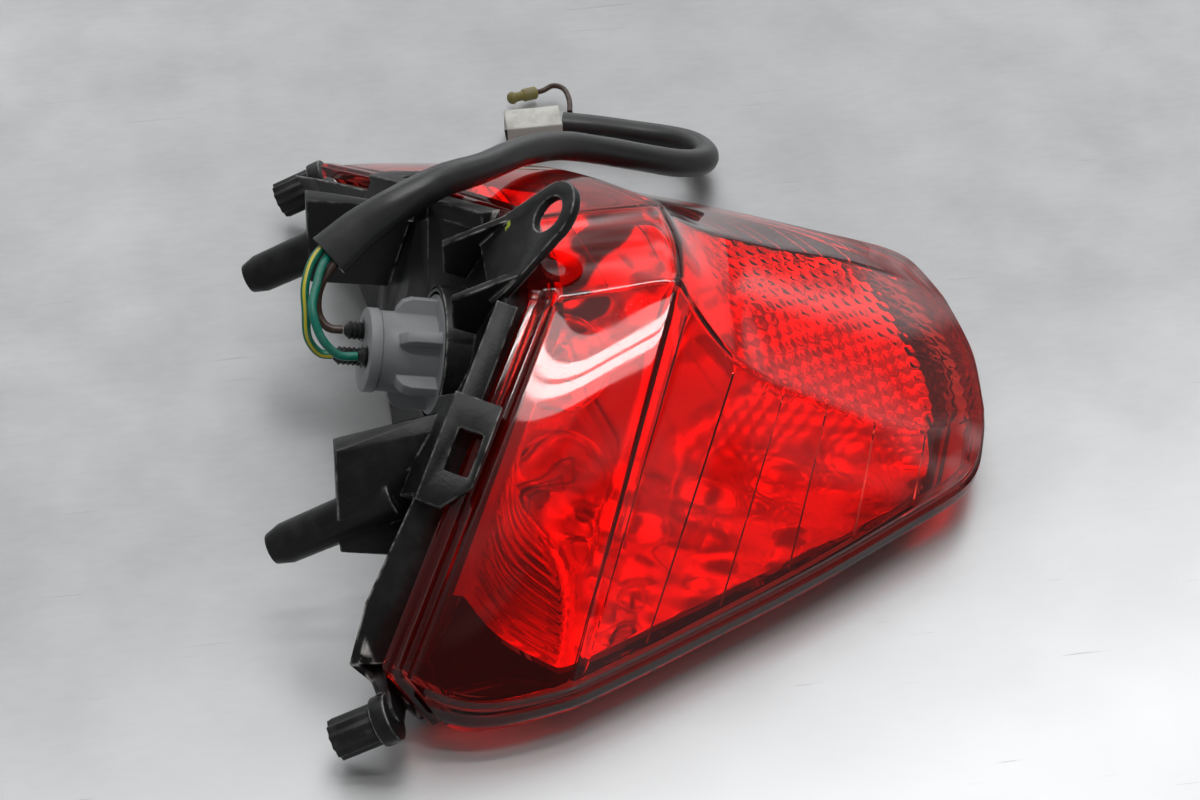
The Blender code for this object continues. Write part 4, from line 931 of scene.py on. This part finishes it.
# %% Reflector
REFLECTOR_WALL = 1.5
REFLECTOR_LINES = (
    ((-16.5, 0.0, 60.5), (-12.2, 0.0, 58.6), (-31.0, 0.0, 26.0), (-42.0, 0.0, 5.6), (83.0, 0.0, 5.6)),
    ((-17.1, 15.0, 57.3), (-12.7, 15.0, 55.2), (-32.5, 15.0, 26.0), (-40.0, 15.0, 5.6), (80.0, 14.0, 5.6)),
    ((-27.4, 33.0, 47.9), (-23.3, 33.0, 46.2), (-31.0, 33.0, 24.0), (-26.0, 33.0, 5.6), (77.0, 31.0, 6.5)),
    ((-37.2, 50.0, 40.3), (-32.8, 50.0, 38.8), (-33.0, 50.5, 20.0), (-19.5, 51.0, 5.6), (73.0, 38.0, 9.0)),
    ((-43.8, 61.0, 33.9), (-39.1, 61.0, 32.4), (-35.5, 65.5, 19.5), (-21.5, 71.0, 8.8), (69.0, 43.5, 11.5)),
    ((-50.7, 72.5, 27.2), (-45.8, 72.5, 25.7), (-40.0, 79.5, 17.5), (-25.0, 87.5, 13.2), (61.0, 49.8, 12.8)),
)
FLANGE_COLUMN = 1
FLOOR_COLUMN = 3
RIPPLES = ((0.35, 0.35, 0.12), (0.20, 0.21, -0.33))
FLUTES_PER_LINE = 4
FLUTE_DEPTH = 0.55
HOLE_RADIUS = 15.5
HOLE_REACH = (18.0, 46.0)
REFLECTOR_LEVELS = 5

SOCKET_TILT = math.radians(14.0)
socket_way = Vector((math.cos(SOCKET_TILT), 0.0, -math.sin(SOCKET_TILT)))
socket_frame = axis_frame((-62.0, 0.0, 38.6), socket_way, (0, 1, 0))
bm, grid = grow_skin(REFLECTOR_LINES)
number_grid(bm, grid)
creases = bm.edges.layers.float.new("crease_edge")
crease_chain(bm, creases, [line[FLOOR_COLUMN] for line in grid], 0.7)
crease_chain(bm, creases, [line[FLANGE_COLUMN] for line in grid], 0.5)
mirror_skin(bm)
bm.normal_update()
if sum(face.normal.z for face in bm.faces) < 0.0:
    bmesh.ops.reverse_faces(bm, faces=bm.faces)
print("reflector cage:", len(bm.faces), "faces")

# %% Reflector: flutes, waves and the hole for the bulb
bm = finished_shell(bm, REFLECTOR_LEVELS, REFLECTOR_WALL)
bm.normal_update()
inner_verts = {vert for vert, spot in inner_spots(bm)}
layer = bm.loops.layers.uv.active
moves = []
for vert in bm.verts:
    if vert not in inner_verts:
        line, row = vert.link_loops[0][layer].uv
        if line > 1.5 and row < FLOOR_COLUMN:
            fade = min(1.0, (line - 1.5) * 3.0, (5.0 - line) * 3.0) * min(1.0, (FLOOR_COLUMN - row) * 3.0)
            fade *= min(1.0, max(0.0, row - FLANGE_COLUMN) * 4.0)
            flute = abs(math.sin(math.pi * FLUTES_PER_LINE * line))
            moves.append((vert, vert.normal * FLUTE_DEPTH * fade * flute))
        elif line > 1.0 and row > FLOOR_COLUMN:
            fade = min(1.0, line - 1.0) * min(1.0, (row - FLOOR_COLUMN) * 8.0)
            ripple = 0.0
            for size, way_x, way_y in RIPPLES:
                ripple += size * math.sin(way_x * vert.co.x + way_y * abs(vert.co.y))
            moves.append((vert, vert.normal * fade * ripple))
for vert, move in moves:
    vert.co += move
to_socket = socket_frame.inverted()
hole = []
for vert in bm.verts:
    spot = to_socket @ vert.co
    if spot.xy.length < HOLE_RADIUS and HOLE_REACH[0] < spot.z < HOLE_REACH[1]:
        hole.append(vert)
bmesh.ops.delete(bm, geom=hole, context="VERTS")
hole_edges = [edge for edge in bm.edges if edge.is_boundary]
for vert in {vert for edge in hole_edges for vert in edge.verts}:
    spot = to_socket @ vert.co
    spot.xy = spot.xy.normalized() * HOLE_RADIUS
    vert.co = socket_frame @ spot
bmesh.ops.bridge_loops(bm, edges=hole_edges)
bmesh.ops.recalc_face_normals(bm, faces=bm.faces)

# %% Reflector: finish
chrome, chrome_tree, chrome_shader = start_material("reflector_bright")
chrome_shader.inputs["Metallic"].default_value = 1.0
tarnish = place_group(chrome_tree, grain_group, Scale=400.0)["Blotch"]
chrome_tree.links.new(mixed(chrome_tree, tarnish, (0.90, 0.90, 0.91), (0.84, 0.84, 0.84)),
                      chrome_shader.inputs["Base Color"])
chrome_tree.links.new(mapped(chrome_tree, tarnish, 0.0, 1.0, 0.05, 0.11), chrome_shader.inputs["Roughness"])
make_piece("reflector_tray", bm, chrome, "reflector_bright", "reflector", body="housing", sharp=50.0)

# %% [markdown]
# ## Housing
# The back housing is black filled nylon, scuffed and dusty. Its CAD solid already has the right walls,
# pins, tab and straps, so its faces are copied, welded and given the small radius that every moulded edge
# has. The edge shines where it was rubbed.

# %% Housing
DAB_PLACE = (-0.0243, 0.0070, 0.0682)

black_finish = dull_finish("housing_black", colour=(0.008, 0.008, 0.0083), drift=(0.013, 0.013, 0.0133),
                           worn=(0.66, 0.65, 0.62), roughness=0.38, grain=1100.0, relief=0.00005, wear=0.9,
                           dust=0.06, wear_radius=0.0008, shine=0.3, dab=DAB_PLACE)
make_piece("housing_moulding", softened("housing", 0.35), black_finish, "housing_black", "housing",
           body="housing", sharp=32.0, in_metres=True)
rubber = dull_finish("rubber_black", colour=(0.008, 0.008, 0.008), drift=(0.013, 0.013, 0.0125),
                     worn=(0.06, 0.06, 0.06), roughness=0.45, grain=900.0, wear=0.5, dust=0.12)
for side in ("left", "right"):
    vent_cap = "vent_cap_" + side
    make_piece("vent_cap_rubber_" + side, softened(vent_cap, 0.3), rubber, "rubber_black", vent_cap,
               body="housing", in_metres=True)

# %% [markdown]
# ## Socket, seals and bulb
# The grey socket twists in the housing's boss and carries the bulb. Its moulded body is a softened copy
# as well, and its rubber rings and seals are spun, because they are round and need soft lips.

# %% Socket
grey_finish = dull_finish("socket_grey", colour=(0.260, 0.265, 0.275), drift=(0.300, 0.305, 0.315),
                          worn=(0.34, 0.34, 0.34), roughness=0.42, grain=1000.0, wear=0.7, dust=0.12)
make_piece("socket_moulding", softened("socket_body", 0.3), grey_finish, "socket_grey", "socket_body",
           body="socket", in_metres=True)
GASKET_PROFILE = ((14.0, 19.5), (14.5, 19.9), (14.5, 20.8), (14.0, 21.2), (12.2, 21.2), (11.8, 20.8),
                  (11.8, 19.9), (12.2, 19.5))
make_piece("socket_gasket_ring", spun(GASKET_PROFILE, socket_frame, ring=True), rubber, "rubber_black",
           "socket_gasket", body="socket")
SEALS = {"ground": (-4.6, 1.8, -2.0), "brake": (0.0, -2.6, -7.0), "tail": (4.9, 1.6, -4.6)}
SEAL_DEPTH = 1.7
for seal_name, (across, up, front) in SEALS.items():
    profile = [(0.0, front), (1.2, front), (1.5, front + 0.4)]
    rib = front + 1.0
    while rib < SEAL_DEPTH - 0.9:
        profile += [(2.0, rib), (2.3, rib + 0.25), (2.3, rib + 0.5), (2.0, rib + 0.8)]
        rib += 1.2
    profile += [(2.2, SEAL_DEPTH), (0.0, SEAL_DEPTH)]
    place = socket_frame @ Matrix.Translation((across, up, 0.0))
    make_piece("wire_seal_rubber_" + seal_name, spun(profile, place, steps=28), rubber, "rubber_black",
               "wire_seal_" + seal_name, body="socket", sharp=50.0)

# %% Bulb and contacts
GLOBE = 12.5
GLOBE_HEIGHT = 50.5
GLASS_WALL = 0.9
NECK = 6.5
NECK_FOOT = 25.0
GLOBE_STEPS = 16
GLOBE_FROM = -40.0
GLOBE_SWEEP = 130.0

outside = [(NECK, NECK_FOOT), (NECK, GLOBE_HEIGHT - GLOBE)]
inside = [(NECK - GLASS_WALL, NECK_FOOT), (NECK - GLASS_WALL, GLOBE_HEIGHT - GLOBE)]
for step in range(GLOBE_STEPS + 1):
    angle = math.radians(GLOBE_FROM + GLOBE_SWEEP * step / GLOBE_STEPS)
    radial = 0.0 if step == GLOBE_STEPS else math.cos(angle)
    outside.append((GLOBE * radial, GLOBE_HEIGHT + GLOBE * math.sin(angle)))
    inside.append(((GLOBE - GLASS_WALL) * radial, GLOBE_HEIGHT + (GLOBE - GLASS_WALL) * math.sin(angle)))
glass, glass_tree, glass_shader = start_material("bulb_clear")
glass_shader.inputs["Transmission Weight"].default_value = 1.0
glass_shader.inputs["Base Color"].default_value = (0.97, 0.98, 0.98, 1.0)
smoky = noise(glass_tree, 200.0, detail=3.0)
glass_tree.links.new(mapped(glass_tree, smoky, 0.4, 0.7, 0.0, 0.06), glass_shader.inputs["Roughness"])
make_piece("bulb_envelope", spun(outside[::-1] + inside, socket_frame), glass, "bulb_clear", "bulb_glass",
           body="bulb")


def metal_finish(name, colour, tarnished, roughness):
    """Make a metal whose colour and gloss drift a little."""
    material, tree, shader = start_material(name)
    shader.inputs["Metallic"].default_value = 1.0
    blotch = place_group(tree, grain_group, Scale=900.0)["Blotch"]
    tree.links.new(mixed(tree, blotch, colour, tarnished), shader.inputs["Base Color"])
    tree.links.new(mapped(tree, blotch, 0.0, 1.0, roughness, roughness + 0.15), shader.inputs["Roughness"])
    return material


brass = metal_finish("contact_brass", (0.72, 0.55, 0.26), (0.48, 0.36, 0.17), 0.22)
steel = metal_finish("spring_steel", (0.60, 0.60, 0.60), (0.42, 0.41, 0.40), 0.2)
phenolic = dull_finish("contact_insulator", colour=(0.14, 0.07, 0.035), drift=(0.19, 0.10, 0.05),
                       worn=(0.3, 0.2, 0.12), roughness=0.5)
CAD_FINISHES = {
    "bulb_cap": brass, "bulb_stem": glass, "filament_brake": steel, "filament_tail": steel,
    "ground_shell": brass, "contact_brake": brass, "contact_tail": brass, "contact_carrier": phenolic,
    "plug_terminal_brake": brass, "plug_terminal_tail": brass, "lens_seal": rubber,
}
for node_name, finish in CAD_FINISHES.items():
    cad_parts[node_name].data.materials.clear()
    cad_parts[node_name].data.materials.append(finish)
print("CAD nodes kept:", len(CAD_FINISHES))

# %% [markdown]
# ## Contact spring
# A coil spring pushes the contact plate against the bulb. A circle that is spun with a small rise on
# every step winds it. A rigid coil would be cut by the plate when the bulb goes in, and this coil stays
# rigid.

# %% Contact spring
SPRING_RADIUS = 5.5
SPRING_WIRE = 0.9
SPRING_TURNS = 3
SPRING_STEPS = 24
SPRING_ENDS = (5.8, 10.9)

spring_height = SPRING_ENDS[1] - SPRING_ENDS[0]
coil_steps = SPRING_TURNS * SPRING_STEPS
coil_rise = (spring_height - SPRING_WIRE) / coil_steps
bm = bmesh.new()
upright = Matrix.Rotation(math.pi / 2.0, 4, "X")
bmesh.ops.create_circle(bm, segments=WIRE_SIDES, radius=SPRING_WIRE / 2.0, matrix=upright)
bmesh.ops.translate(bm, verts=bm.verts, vec=(SPRING_RADIUS, 0.0, SPRING_ENDS[0] + SPRING_WIRE / 2.0))
bmesh.ops.spin(bm, geom=bm.verts[:] + bm.edges[:], axis=(0, 0, 1), cent=(0, 0, 0), dvec=(0, 0, coil_rise),
               angle=math.tau * SPRING_TURNS, steps=coil_steps)
coil_ends = [edge for edge in bm.edges if edge.is_boundary]
bmesh.ops.holes_fill(bm, edges=coil_ends)
bmesh.ops.recalc_face_normals(bm, faces=bm.faces)
bm.transform(socket_frame)
spring = make_piece("contact_spring_coil", bm, steel, "spring_steel", "contact_spring", body="socket")
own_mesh(spring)
